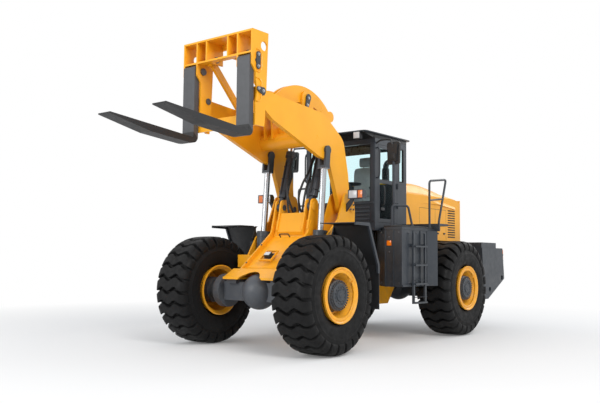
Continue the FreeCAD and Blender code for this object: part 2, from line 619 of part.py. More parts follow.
def build_forks():
    """Shaft across the carriage and the two hanging forks with tapered blades."""
    shaft = cylinder("ForkShaft", "y", ("shaft_x", "shaft_z"), "shaft_radius",
                     "outer_rib_y - carriage_plate - 10", "carriage_half + 10")
    node("fork_shafts", both_sides("ForkShafts", shaft))
    top = "fork_heel_z + fork_thick"
    fork = plate("ForkBlade", "xz", [
        ("shaft_x - fork_eye_radius + 20", "shaft_z + fork_eye_radius"),
        ("fork_back_x + fork_thick", "shaft_z + fork_eye_radius", "40"),
        ("fork_back_x + fork_thick", top, "20"),
        ("fork_tip_x - 60", "fork_heel_z + fork_rise + fork_tip_thick"),
        ("fork_tip_x", "fork_heel_z + fork_rise + fork_tip_thick / 2", "10"),
        ("fork_tip_x - 60", "fork_heel_z + fork_rise"),
        ("fork_kink_x", "fork_heel_z + 60", "500"), ("fork_back_x + 140", "fork_heel_z", "300"),
        ("fork_back_x", "fork_heel_z + 20", "90"), ("fork_back_x", "shaft_z - fork_eye_radius - 30"),
        ("shaft_x - fork_eye_radius + 20", "shaft_z - fork_eye_radius + 20")],
        "fork_inner_y", "fork_inner_y + fork_width",
        [(("shaft_x", "shaft_z"), "shaft_radius + running_gap")])
    node("fork_left", fork)
    node("fork_right", mirrored("ForkBladeRight", fork))


# ---------------------------------------------------------------- hydraulic cylinders
def clevis(name, centre_y, eye, gap):
    """Forked rod end: two round-headed cheeks on a base below the eye height."""
    cheeks = []
    for side, low in (("In", f"{centre_y} - ({gap}) / 2 - clevis_cheek"),
                      ("Out", f"{centre_y} + ({gap}) / 2")):
        cheek = cylinder(f"{name}{side}", "y", ("0", eye), "clevis_radius",
                         low, f"{low} + clevis_cheek")
        block = box(f"{name}{side}Leg", ("-clevis_radius + 15", "clevis_radius - 15"),
                    (low, f"{low} + clevis_cheek"), (f"{eye} - 240", eye))
        cheeks += [cheek, block]
    base = box(f"{name}Base", ("-clevis_radius + 15", "clevis_radius - 15"),
               (f"{centre_y} - ({gap}) / 2 - clevis_cheek",
                f"{centre_y} + ({gap}) / 2 + clevis_cheek"),
               (f"{eye} - 280", f"{eye} - 235"))
    return [*cheeks, base]


def build_lift_cylinders():
    """Trunnion-mounted lift cylinders between the frame's carriers and the boom."""
    barrel = cylinder("LiftBarrel", "z", ("0", "boom_plate_y"), "lift_bore_radius",
                      "-lift_tail", "lift_gland_reach - 30")
    gland = cylinder("LiftGland", "z", ("0", "boom_plate_y"), "lift_gland_radius",
                     "lift_gland_reach - gland_length", "lift_gland_reach")
    trunnion = cylinder("LiftTrunnion", "y", ("0", "0"), "trunnion_radius",
                        "boom_plate_y - trunnion_block", "boom_plate_y + trunnion_block")
    collar = cylinder("LiftCollar", "z", ("0", "boom_plate_y"), "lift_gland_radius",
                      "-trunnion_radius - 15", "trunnion_radius + 15")
    bore = cylinder("LiftBore", "z", ("0", "boom_plate_y"), "lift_rod_radius + running_gap",
                    "-lift_tail + 60", "lift_gland_reach + 1")
    solid = cut("LiftBarrelSolid", fuse("LiftBarrelBlank", barrel, gland, trunnion, collar),
                bore)
    node("lift_barrels", both_sides("LiftBarrels", aimed(solid, TRUNNION, LIFT_EYE)))
    eye = distance(TRUNNION, LIFT_EYE)
    rod = cylinder("LiftRod", "z", ("0", "boom_plate_y"), "lift_rod_radius",
                   "lift_gland_reach - 60", f"{eye} - 270")
    head = clevis("LiftClevis", "boom_plate_y", eye, "boom_thick + 2 * side_gap")
    rod_solid = fuse("LiftRodSolid", rod, *head)
    node("lift_rods", both_sides("LiftRods", aimed(rod_solid, TRUNNION, LIFT_EYE)))


def build_tilt_cylinders():
    """Tilt cylinders from the frame's lugs up to the rear ends of the rocker arms."""
    low, high = "linkage_y - rocker_slot / 2 + 6", "linkage_y + rocker_slot / 2 - 6"
    foot = cylinder("TiltFoot", "y", ("0", "0"), "eye_radius - 12",
                    "linkage_y - lug_thick", "linkage_y + lug_thick")
    neck = box("TiltNeck", ("-45", "45"), ("linkage_y - lug_thick", "linkage_y + lug_thick"),
               ("0", "180"))
    barrel = cylinder("TiltBarrel", "z", ("0", "linkage_y"), "tilt_bore_radius",
                      "160", "tilt_gland_reach - 30")
    gland = cylinder("TiltGland", "z", ("0", "linkage_y"), "tilt_gland_radius",
                     "tilt_gland_reach - gland_length", "tilt_gland_reach")
    bore = cylinder("TiltBore", "z", ("0", "linkage_y"), "tilt_rod_radius + running_gap",
                    "tilt_gland_reach - 340", "tilt_gland_reach + 1")
    pin_bore = cylinder("TiltPinBore", "y", ("0", "0"), PIN_BORE,
                        "linkage_y - lug_thick - 1", "linkage_y + lug_thick + 1")
    solid = cut("TiltBarrelSolid", fuse("TiltBarrelBlank", foot, neck, barrel, gland),
                bore, pin_bore)
    node("tilt_barrels", both_sides("TiltBarrels", aimed(solid, TILT_BASE, TILT_EYE)))
    eye = distance(TILT_BASE, TILT_EYE)
    rod = cylinder("TiltRod", "z", ("0", "linkage_y"), "tilt_rod_radius",
                   "tilt_gland_reach - 130", f"{eye} - eye_radius - 210")
    neck = box("TiltRodNeck", ("-45", "45"), (low, high), (f"{eye} - eye_radius - 230", eye))
    head = cylinder("TiltRodEye", "y", ("0", eye), "eye_radius - 15", low, high)
    rod_solid = fuse("TiltRodSolid", rod, neck, head)
    node("tilt_rods", both_sides("TiltRods", aimed(rod_solid, TILT_BASE, TILT_EYE)))


def build_steering_cylinders():
    """One cylinder each side between the rear frame and the front frame's ears."""
    reach = "sqrt((steer_base_x + steer_eye_x) ^ 2 + (steer_eye_y - steer_base_y) ^ 2)"
    for side, sign in (("left", 1), ("right", -1)):
        tail = cylinder(f"SteerTail_{side}", "z", ("0", "0"), "60", "-28", "28")
        barrel = cylinder(f"SteerBarrel_{side}", "x", ("0", "0"), "steer_bore_radius",
                          "50", "steer_barrel")
        bore = cylinder(f"SteerBore_{side}", "x", ("0", "0"), "steer_rod_radius + running_gap",
                        "60", "steer_barrel + 1")
        tail_bore = cylinder(f"SteerTailBore_{side}", "z", ("0", "0"), "30 + running_gap",
                             "-29", "29")
        barrel_solid = cut(f"SteerBarrelSolid_{side}",
                           fuse(f"SteerBarrelBlank_{side}", tail, barrel), bore, tail_bore)
        rod = cylinder(f"SteerRod_{side}", "x", ("0", "0"), "steer_rod_radius",
                       "steer_barrel - 175", f"{reach} - 40")
        eye = cylinder(f"SteerEye_{side}", "z", (reach, "0"), "52", "-28", "28")
        rod_solid = fuse(f"SteerRodSolid_{side}", rod, eye)
        for solid in (barrel_solid, rod_solid):
            solid.Placement = Placement(Vector(), Rotation(Vector(0, 0, 1), 10))
            turn = f"{sign} * atan2(steer_eye_y - steer_base_y; steer_base_x + steer_eye_x)"
            solid.setExpression("Placement.Rotation.Angle", cell(turn))
            placed(solid, "-steer_base_x", f"{sign} * steer_base_y", "steer_level_z")
        node(f"steer_barrel_{side}", barrel_solid)
        node(f"steer_rod_{side}", rod_solid)


# ---------------------------------------------------------------- front frame
def build_front_frame():
    """Sloped box with lugs, towers, foot plates over the axle and hinge ears."""
    box_in, box_out = "front_box_half - frame_plate", "front_box_half"
    side = plate("FrontSide", "xz", [
        ("bend_low_x", "bend_low_z"), ("bend_high_x", "bend_high_z"),
        ("tilt_base_x + 90", "tilt_base_z - 200"), ("boom_pivot_x + 120", "tilt_base_z - 200"),
        ("330", "hinge_high_z + 300"), ("230", "hinge_high_z + 60"),
        ("230", "hinge_low_z - hinge_plate * 1.5 - side_gap - 10"), ("400", "frame_floor_z"),
        ("wheel_base / 2 - pad_long / 2 - 320", "frame_floor_z"),
        ("wheel_base / 2 - pad_long / 2", AXLE_SEAT),
        ("wheel_base / 2 + pad_long / 2", AXLE_SEAT)], box_in, box_out)
    slope = plate("FrontSlope", "xz", [
        ("bend_low_x", "bend_low_z"), ("bend_low_x - 110", "bend_low_z + 20"),
        ("bend_high_x - 47", "bend_high_z - 58"), ("tilt_base_x + 75", "tilt_base_z - 200"),
        ("boom_pivot_x + 120", "tilt_base_z - 200"), ("boom_pivot_x + 120", "tilt_base_z - 228"),
        ("tilt_base_x + 55", "tilt_base_z - 228"), ("bend_high_x - 70", "bend_high_z - 80"),
        ("bend_low_x - 120", "bend_low_z - 15"), ("bend_low_x - 16", "bend_low_z - 28")],
        f"-({box_out})", box_out)
    floor = box("FrontFloor", ("400", "wheel_base / 2 - pad_long / 2 - 320"),
                (f"-({box_out})", box_out), ("frame_floor_z", "frame_floor_z + frame_plate"))
    seats = box("FrontSeat", ("wheel_base / 2 - pad_long / 2", "foot_front_x"),
                ("pad_inner - 60", "pad_outer"), (AXLE_SEAT, f"{AXLE_SEAT} + 34"))
    apron = plate("FrontApron", "xz", [
        ("bend_low_x - 16", "bend_low_z - 28"), ("bend_low_x", "bend_low_z"),
        ("foot_front_x", f"{AXLE_SEAT} + 34"), ("foot_front_x", AXLE_SEAT)],
        "-foot_half", "foot_half")
    arch = cylinder("FrontArch", "x", ("0", "tyre_radius"), "axle_ball_radius + 30",
                    "wheel_base / 2 - 100", "foot_front_x + 50")
    towers = [ring(f"TowerBoss{name}", "y", BOOM_PIVOT, PIN_BORE, "boss_radius", *span)
              for name, span in (
                  ("Inner", ("tower_inner_y - 5", f"{BOOM_IN} - boss_proud - side_gap")),
                  ("Outer", (f"{BOOM_OUT} + boss_proud + side_gap", "tower_outer_y + 5")))]
    for name, low in (("Inner", "tower_inner_y - frame_plate"), ("Outer", "tower_outer_y")):
        towers.append(plate(f"Tower{name}", "xz", [
            ("boom_pivot_x - 100", "boom_pivot_z - 60", "60"),
            ("boom_pivot_x - 50", "tower_top_z", "90"), ("boom_pivot_x + 160", "tower_top_z", "90"),
            ("boom_pivot_x + 330", "tilt_base_z - 190"), ("bend_high_x - 20", "bend_high_z - 60"),
            ("lift_trunnion_x + 190", "lift_trunnion_z + 50"),
            ("lift_trunnion_x + 190", "lift_trunnion_z - 140"),
            ("boom_pivot_x - 80", "lift_trunnion_z - 140")],
            low, f"{low} + frame_plate",
            [(BOOM_PIVOT, PIN_BORE), (TRUNNION, "trunnion_radius + running_gap")]))
    bridge = box("TowerBridge", ("boom_pivot_x - 60", "boom_pivot_x + 60"), ("front_box_half - 5",
                 "tower_outer_y + 5"), ("lift_trunnion_z - 140", "lift_trunnion_z - 112"))
    back = box("TowerBack", ("boom_pivot_x - 60", "boom_pivot_x - 32"),
               ("front_box_half - 5", "tower_outer_y + 5"),
               ("lift_trunnion_z - 140", "boom_pivot_z - 260"))
    carrier = box("Carrier", ("lift_trunnion_x + 185", "carrier_front_x"),
                  ("front_box_half - 5", "tower_outer_y + frame_plate"),
                  ("lift_trunnion_z - 140", "lift_trunnion_z + 50"))
    web = box("TowerWeb", ("boom_pivot_x + 200", "boom_pivot_x + 228"),
              ("front_box_half - 5", "tower_inner_y"),
              ("lift_trunnion_z - 140", "tilt_base_z - 215"))
    lug_shape = [
        ("tilt_base_x - 100", "tilt_base_z - 215"), ("tilt_base_x - 85", "lug_top_z", "70"),
        ("tilt_base_x + 60", "lug_top_z", "70"), ("tilt_base_x + 110", "tilt_base_z - 130", "200"),
        ("bend_high_x - 10", "bend_high_z + 60", "60"), ("bend_high_x - 60", "bend_high_z - 70"),
        ("tilt_base_x + 60", "tilt_base_z - 215")]
    upper = plate("UpperSlope", "xz", [
        ("bend_high_x - 20", "bend_high_z + 20"),
        ("bend_high_x - 95", "bend_high_z + 20 + slope_reach"),
        ("bend_high_x - 95 - slope_plate", "bend_high_z + 20 + slope_reach"),
        ("bend_high_x - 20 - slope_plate", "bend_high_z - 30")],
        "lug_thick * 2 - linkage_y", "linkage_y - lug_thick * 2")
    lugs = []
    for name, low in (("Inner", "linkage_y - lug_thick - 5 - lug_thick"),
                      ("Outer", "linkage_y + lug_thick + 5")):
        lugs.append(plate(f"TiltLug{name}", "xz", lug_shape, low, f"{low} + lug_thick",
                          [(TILT_BASE, PIN_BORE)]))
    ears = []
    for name, level in (("High", "hinge_high_z"), ("Low", "hinge_low_z")):
        for which, low in (("A", f"{level} - hinge_plate / 2 - side_gap - hinge_plate"),
                           ("B", f"{level} + hinge_plate / 2 + side_gap")):
            ears.append(plate(f"HingeEar{name}{which}", "xy", [
                ("-hinge_radius", "0"), ("-hinge_radius", "-hinge_radius", "hinge_radius - 5"),
                ("240", "-front_box_half + 5"), ("240", "front_box_half - 5"),
                ("-hinge_radius", "hinge_radius", "hinge_radius - 5")],
                low, f"{low} + hinge_plate", [(("0", "0"), "hinge_pin_radius")]))
    hinge_back = [box(f"HingeBack{name}", ("230", "262"),
                      (f"-({box_out})", box_out),
                      (f"{level} - hinge_plate * 1.5 - side_gap - 10",
                       f"{level} + hinge_plate * 1.5 + side_gap + 10"))
                  for name, level in (("High", "hinge_high_z"), ("Low", "hinge_low_z"))]
    steer_ears = [box(f"SteerEar{name}", ("90", "262"), ("195", "front_box_half - 5"), span)
                  for name, span in (("High", ("steer_level_z + 33", "steer_level_z + 58")),
                                     ("Low", ("steer_level_z - 58", "steer_level_z - 33")))]
    half = [side, seats, *towers, bridge, back, carrier, web, *lugs, *steer_ears]
    solid = fuse("FrontFrameBlank", *half, *(mirrored(part.Name + "Right", part) for part in half),
                 slope, upper, floor, apron, *ears, *hinge_back)
    node("front_frame", cut("FrontFrameSolid", solid, arch))
    pins = [cylinder(f"HingePin{name}", "z", ("0", "0"), "hinge_pin_radius",
                     f"{level} - hinge_plate * 1.5 - side_gap",
                     f"{level} + hinge_plate * 1.5 + side_gap + 12")
            for name, level in (("High", "hinge_high_z"), ("Low", "hinge_low_z"))]
    node("hinge_pins", *pins)
    tilt_pin = cylinder("TiltBasePin", "y", TILT_BASE, "pin_radius",
                        "linkage_y - 2 * lug_thick - 12", "linkage_y + 2 * lug_thick + 12")
    node("tilt_base_pins", both_sides("TiltBasePins", tilt_pin))


def build_front_fenders():
    """Bent sheet over each front wheel's rear half, with a hanging mud flap."""
    sheet_metal = plate("FenderSheet", "xz", [
        ("fender_front_x", "fender_top_z"), ("fender_rear_x", "fender_top_z", "60"),
        ("fender_foot_x", "fender_foot_z"), ("fender_foot_x", "flap_bottom_z"),
        ("fender_foot_x + fender_thick", "flap_bottom_z"),
        ("fender_foot_x + fender_thick", "fender_foot_z"),
        ("fender_rear_x + fender_thick", "fender_top_z - fender_thick", "48"),
        ("fender_front_x", "fender_top_z - fender_thick")],
        "fender_inner_y", "fender_outer_y")
    middle_z = "fender_top_z - fender_thick / 2"
    wall = plate("FenderWall", "xz", [
        ("fender_front_x - 350", middle_z), ("fender_rear_x + fender_thick / 2", middle_z, "54"),
        ("fender_foot_x + fender_thick / 2", "fender_foot_z"),
        ("fender_foot_x + fender_thick / 2", "fender_foot_z - 250"),
        ("fender_foot_x + 180", "fender_foot_z - 100"), ("lift_trunnion_x", "fender_top_z - 200")],
        "fender_inner_y - fender_thick", "fender_inner_y + 5")
    bracket = box("FenderBracket", ("fender_rear_x + 20", "fender_rear_x + 120"),
                  ("tower_outer_y + frame_plate + running_gap", "fender_inner_y - fender_thick"),
                  ("fender_top_z - 330", "fender_top_z - 250"))
    node("front_fenders", both_sides("FrontFenders",
                                     fuse("FenderSolid", sheet_metal, wall, bracket)))


def build_head_lamps():
    """Two-part lamp pods that lean out on gussets from the towers' outer faces."""
    face, low, deep = "tower_outer_y + frame_plate", "lamp_low_z", "lamp_deep"
    gusset = plate("LampGusset", "yz", [
        (face, f"{low} - 190"), (face, f"{low} - 75"), ("lamp_inner_y", low),
        ("lamp_inner_y + 75", low), ("lamp_inner_y + 25", f"{low} - 85")],
        f"lamp_front_x - {deep} + 15", f"lamp_front_x - {deep} + 15 + lamp_bracket")
    pod = plate("LampPod", "xz", [
        ("lamp_front_x", low), ("lamp_front_x", f"{low} + lamp_high"),
        (f"lamp_front_x - {deep} + 30", f"{low} + lamp_high", "15"),
        (f"lamp_front_x - {deep}", f"{low} + lamp_high - 40", "15"),
        (f"lamp_front_x - {deep}", low)],
        "lamp_inner_y", "lamp_inner_y + lamp_wide")
    middle = "lamp_inner_y + lamp_wide * 0.62"
    level = (f"{low} + lamp_rim", f"{low} + lamp_high - lamp_rim")
    depth = ("lamp_front_x - lamp_rim", "lamp_front_x + 1")
    white = box("LampWhite", depth, ("lamp_inner_y + lamp_rim", f"{middle} - lamp_rim / 2"), level)
    amber = box("LampAmber", depth, (f"{middle} + lamp_rim / 2",
                                     "lamp_inner_y + lamp_wide - lamp_rim"), level)
    lamp = fuse("LampSolid", gusset, cut("LampShell", pod, white, amber))
    node("head_lamps", both_sides("HeadLamps", lamp))


# ---------------------------------------------------------------- rear frame and body
def build_rear_frame():
    """Two long rails, hinge tongues, belly plate, cab beams and axle seats."""
    rail = box("RearRail", ("-rear_end_x", "-360"), ("rail_inner_y", "rail_inner_y + rail_thick"),
               (AXLE_SEAT, "rail_top_z"))
    drop = plate("RearDrop", "xz", [
        ("-360", "rail_top_z"), ("-360", "belly_z + 60"), ("-440", "belly_z"), ("-960", "belly_z"),
        ("-1180", "rail_low_z + 20"), ("-1180", "rail_top_z")],
        "rail_inner_y", "rail_inner_y + rail_thick")
    seats = box("RearSeat", ("-wheel_base / 2 - pad_long / 2", "-wheel_base / 2 + pad_long / 2"),
                ("rail_inner_y", "pad_outer"), (AXLE_SEAT, f"{AXLE_SEAT} + 40"))
    base_ears = [box(f"SteerBase{name}", ("-steer_base_x - 60", "-steer_base_x + 45"),
                     ("steer_base_y - 60", "rail_inner_y + 5"), span)
                 for name, span in (("High", ("steer_level_z + 33", "steer_level_z + 58")),
                                    ("Low", ("steer_level_z - 58", "steer_level_z - 33")))]
    pin = cylinder("SteerBasePin", "z", ("-steer_base_x", "steer_base_y"), "30",
                   "steer_level_z - 60", "steer_level_z + 60")
    half = [rail, drop, seats, *base_ears, pin]
    width = ("-rail_inner_y - 5", "rail_inner_y + 5")
    belly = box("Belly", ("-960", "-420"), width, ("belly_z", "belly_z + 25"))
    tongues = []
    for name, level in (("High", "hinge_high_z"), ("Low", "hinge_low_z")):
        tongues.append(plate(f"Tongue{name}", "xy", [
            ("hinge_radius - 10", "0"), ("hinge_radius - 10", "hinge_radius - 20", "120"),
            ("-400", "rail_inner_y + 5"), ("-400", "-rail_inner_y - 5"),
            ("hinge_radius - 10", "20 - hinge_radius", "120")],
            f"{level} - hinge_plate / 2", f"{level} + hinge_plate / 2",
            [(("0", "0"), "hinge_pin_radius + running_gap")]))
    bearers = []
    for index, place in enumerate(("hood_front_x + 120", "weight_front_x - 140")):
        span = (f"-({place}) - 80", f"-({place})")
        bearers.append(box(f"HoodArm{index}", span, ("rail_inner_y + rail_thick - 5", "hood_half"),
                           ("rail_top_z - 80", "rail_top_z")))
        bearers.append(box(f"HoodPost{index}", span, ("hood_half - 60", "hood_half"),
                           ("rail_top_z - 5", "hood_low_z - seat_gap")))
    half.extend(bearers)
    crosses = [box(f"RearCross{index}", (f"-{place} - 60", f"-{place}"), width,
                   ("rail_top_z - 160", "rail_top_z")) for index, place in
               enumerate(("500", "cab_rear_x", "2400", "2880"))]
    node("rear_frame", fuse("RearFrameSolid", *half,
                            *(mirrored(part.Name + "Right", part) for part in half),
                            belly, *tongues, *crosses))


def build_counterweight():
    """Cast block with a tapered tail, hung across the frame's rear end."""
    cast = plate("WeightCast", "xz", [
        ("-weight_front_x", "weight_top_z"), ("-weight_rear_x", "weight_top_z", "25"),
        ("-weight_rear_x - 70", "weight_knee_z", "25"), ("-weight_front_x - 250", "weight_low_z", "25"),
        ("-weight_front_x - 100", "weight_low_z")], "-weight_half", "weight_half")
    slot = box("WeightSlot", ("-rear_end_x - 10", "-weight_front_x + 10"),
               ("-rail_inner_y - rail_thick - seat_gap", "rail_inner_y + rail_thick + seat_gap"),
               ("rail_low_z - 100", "weight_top_z + 10"))
    holes = [cylinder(f"WeightHole{index}", "y", place, "45", "weight_half - 120", "weight_half + 5")
             for index, place in enumerate((("-weight_rear_x + 40", "weight_knee_z + 20"),
                                            ("-weight_front_x - 330", "weight_knee_z - 190")))]
    lamps = []
    for index in range(3):
        low = f"weight_top_z - {110 + index * 110}"
        lamps.append(both_sides(f"TailLampPair{index}", box(
            f"TailLamp{index}", ("-weight_rear_x - 75", "-weight_rear_x - 8"),
            ("weight_half - 140", "weight_half - 20"), (low, f"{low} + 80"))))
    node("tail_lamps", *lamps)
    block = cut("WeightBlock", cast, slot, *lamps, *holes,
                *(mirrored(hole.Name + "Right", hole) for hole in holes))
    node("counterweight", block)
    lid = box("BatteryLid", ("-weight_rear_x + 260", "-weight_front_x - 20"),
              ("weight_half - 360", "weight_half - 20"), ("weight_top_z", "weight_top_z + 100"))
    node("battery_boxes", both_sides("BatteryBoxes", lid))


def build_hood():
    """Engine hood as sheet: two sides, a sloping top with bevelled edges and the tail."""
    section = [
        ("-hood_half", "hood_low_z"), ("-hood_half", "hood_break_z", "30"),
        ("-hood_half + 110", "hood_top_z", "60"), ("hood_half - 110", "hood_top_z", "60"),
        ("hood_half", "hood_break_z", "30"), ("hood_half", "hood_low_z")]
    outer = plate("HoodOuter", "yz", section, "-hood_rear_x", "-hood_front_x")
    trim = plate("HoodTrim", "xz", [
        ("-hood_front_x + 5", "hood_top_z + 5"), ("-hood_rear_x - 5", "hood_top_z + 5"),
        ("-hood_rear_x - 5", "hood_rear_z - 120", "60"), ("-hood_rear_x + 100", "hood_rear_z", "120"),
        ("-hood_rear_x + 900", "hood_top_z - 40", "500"), ("-hood_front_x + 5", "hood_top_z")],
        "-hood_half - 5", "hood_half + 5")
    inner = box("HoodInner", ("-hood_rear_x + hood_sheet", "-hood_front_x + 1"),
                ("-hood_half + hood_sheet", "hood_half - hood_sheet"),
                ("hood_low_z - 1", "hood_rear_z - 160"))
    outlet = cylinder("ExhaustPipe", "z", ("-hood_front_x - 160", "150"), "60",
                      "hood_top_z - 12", "hood_top_z + 320")
    louvres = []
    for index in range(int(value("louvre_count"))):
        level = f"hood_low_z + louvre_low_gap + {index} * louvre_pitch"
        louvres.append(box(f"Louvre{index}", ("louvre_rear_gap - hood_rear_x",
                                              "louvre_rear_gap - hood_rear_x + louvre_long"),
                           ("hood_half - louvre_deep", "hood_half + 1"),
                           (level, f"{level} + louvre_high")))
    slots = both_sides("Louvres", group("LouvresLeft", *louvres))
    node("engine_hood", cut("HoodSolid", outer, trim, inner, outlet, slots))
    engine = box("Engine", ("-hood_rear_x + 650", "-hood_front_x - 250"), ("-330", "330"),
                 ("rail_top_z", "hood_rear_z - 220"))
    node("engine_block", engine)
    radiator = box("Radiator", ("-weight_front_x + 20", "-weight_front_x + 200"), ("-520", "520"),
                   ("rail_top_z", "hood_rear_z - 200"))
    node("radiator", radiator)
    node("exhaust", outlet)


def build_drive_line():
    """Gearbox, prop shafts to both axles and the joint under the hinge."""
    level = "tyre_radius"
    case = box("Gearbox", ("-1150", "-620"), ("-200", "200"), ("belly_z + 60", "rail_top_z - 175"))
    shaft_rear = cylinder("ShaftRear", "x", ("0", level), "45", "-wheel_base / 2 + 430", "-1150")
    shaft_front = cylinder("ShaftMiddle", "x", ("0", level), "45", "-620", "-90")
    yoke = cylinder("YokeRear", "x", ("0", level), "70", "-90", "-60")
    node("gearbox", fuse("GearboxSolid", case, shaft_rear, shaft_front, yoke))
    front = cylinder("ShaftFront", "x", ("0", level), "45", "60", "wheel_base / 2 - 430")
    front_yoke = cylinder("YokeFront", "x", ("0", level), "70", "55", "85")
    cross = ball("JointCross", ("0", "0", level), "42")
    stub = cylinder("JointStub", "x", ("0", level), "25", "0", "60")
    node("front_shaft", fuse("FrontShaftSolid", front, front_yoke, cross, stub))


# ---------------------------------------------------------------- platform and cab
def build_platform():
    """Decks each side of the cab, side tanks under them, and the rear wheel covers."""
    deck = plate("Deck", "xy", [
        ("-250", "cab_half + running_gap"), ("deck_front_x", "tank_inner_y + 110"),
        ("deck_front_x", "deck_outer_y"), ("-tank_rear_x - 20", "deck_outer_y"),
        ("-tank_rear_x - 20", "cab_half + running_gap")], "deck_z - deck_thick", "deck_z")
    cover = box("RearCover", ("-deck_rear_x", "-tank_rear_x - 20"),
                ("cab_half + running_gap", "deck_outer_y + 90"), ("deck_z + 40", "deck_z + 75"))
    riser = box("DeckRiser", ("-tank_rear_x - 45", "-tank_rear_x - 20"),
                ("cab_half + running_gap", "deck_outer_y + 90"), ("deck_z - deck_thick", "deck_z + 75"))
    node("platforms", both_sides("Platforms", fuse("PlatformSolid", deck, cover, riser)))
    tank = plate("Tank", "xy", [
        ("deck_front_x - 10", "tank_inner_y + 120"), ("deck_front_x - 10", "tank_outer_y"),
        ("-tank_rear_x + 230", "tank_outer_y"), ("-tank_rear_x", "tank_outer_y + 75"),
        ("-tank_rear_x", "tank_inner_y - 280"), ("-250", "tank_inner_y - 280")],
        "tank_low_z", "deck_z - deck_thick")
    node("side_tanks", both_sides("SideTanks", tank))
    arm = box("CabCarrier", ("-tank_rear_x", "-320"),
              ("rail_inner_y + rail_thick", "tank_inner_y - 280"), ("rail_top_z - 100", "rail_top_z"))
    mounts = [cylinder(f"CabMount{index}", "z", (place, "rail_inner_y + rail_thick + 55"), "50",
                       "rail_top_z - 20", "deck_z - deck_thick")
              for index, place in enumerate(("-400", "60 - tank_rear_x"))]
    node("cab_carriers", both_sides("CabCarriers", fuse("CabCarrierSolid", arm, *mounts)))
    rails = [box(f"LadderRail{index}", (f"-{place} - 20", f"-{place} + 20"),
                 ("tank_outer_y + 40", "tank_outer_y + 70"), ("610", "deck_z - 100"))
             for index, place in enumerate(("120", "480"))]
    rungs = [box(f"Rung{index}", ("-480", "-120"), ("tank_outer_y + 30", "tank_outer_y + 100"),
                 (f"{610 + index * 290}", f"{635 + index * 290}")) for index in range(4)]
    stays = [box(f"LadderStay{index}", (f"-{place} - 15", f"-{place} + 15"),
                 ("tank_outer_y + 0.3", "tank_outer_y + 45"), ("1500", "1530"))
             for index, place in enumerate(("120", "480"))]
    node("ladders", both_sides("Ladders", fuse("LadderSolid", *rails, *rungs, *stays)))


def build_handrails():
    """A low loop across the step's corner, and a tall one over the rear cover."""
    foot, back = ("rail_front_x", "rail_front_y"), ("rail_rear_x", "rail_rear_y")
    length = distance(foot, back)
    top, bend = (f"{length} - rail_lean", "rail_high"), (length, "rail_radius")
    parts = [cylinder("RailFront", "z", ("0", "0"), "rail_radius", "0", "rail_high"),
             cylinder("RailTop", "x", ("0", "rail_high"), "rail_radius", "0", top[0]),
             ball("RailElbow", ("0", "0", "rail_high"), "rail_radius"),
             ball("RailBend", (top[0], "0", "rail_high"), "rail_radius"),
             aimed(cylinder("RailBack", "z", ("0", "0"), "rail_radius", "0",
                            distance(bend, top)), bend, top),
             cylinder("RailFoot", "z", (length, "0"), "rail_radius", "0", "rail_radius"),
             ball("RailHeel", (length, "0", "rail_radius"), "rail_radius")]
    low = placed(fuse("LowRail", *parts), *foot, "deck_z")
    low.Placement = Placement(low.Placement.Base, Rotation(Vector(0, 0, 1), 90))
    low.setExpression("Placement.Rotation.Angle", cell(
        f"atan2({back[1]} - {foot[1]}; {back[0]} - {foot[0]})"))
    tall_posts = [cylinder(f"TallPost{index}", "z", (x, "deck_outer_y + 40"), "18",
                           "deck_z + 75", "deck_z + 850")
                  for index, x in enumerate(("-tank_rear_x - 60", "-deck_rear_x + 40"))]
    tall_bars = [cylinder(f"TallBar{index}", "x", ("deck_outer_y + 40", level), "18",
                          "-deck_rear_x + 40", "-tank_rear_x - 60")
                 for index, level in enumerate(("deck_z + 850", "deck_z + 450"))]
    tall = fuse("TallRail", *tall_posts, *tall_bars)
    node("handrails", *(both_sides(rail.Name + "Pair", rail) for rail in (low, tall)))


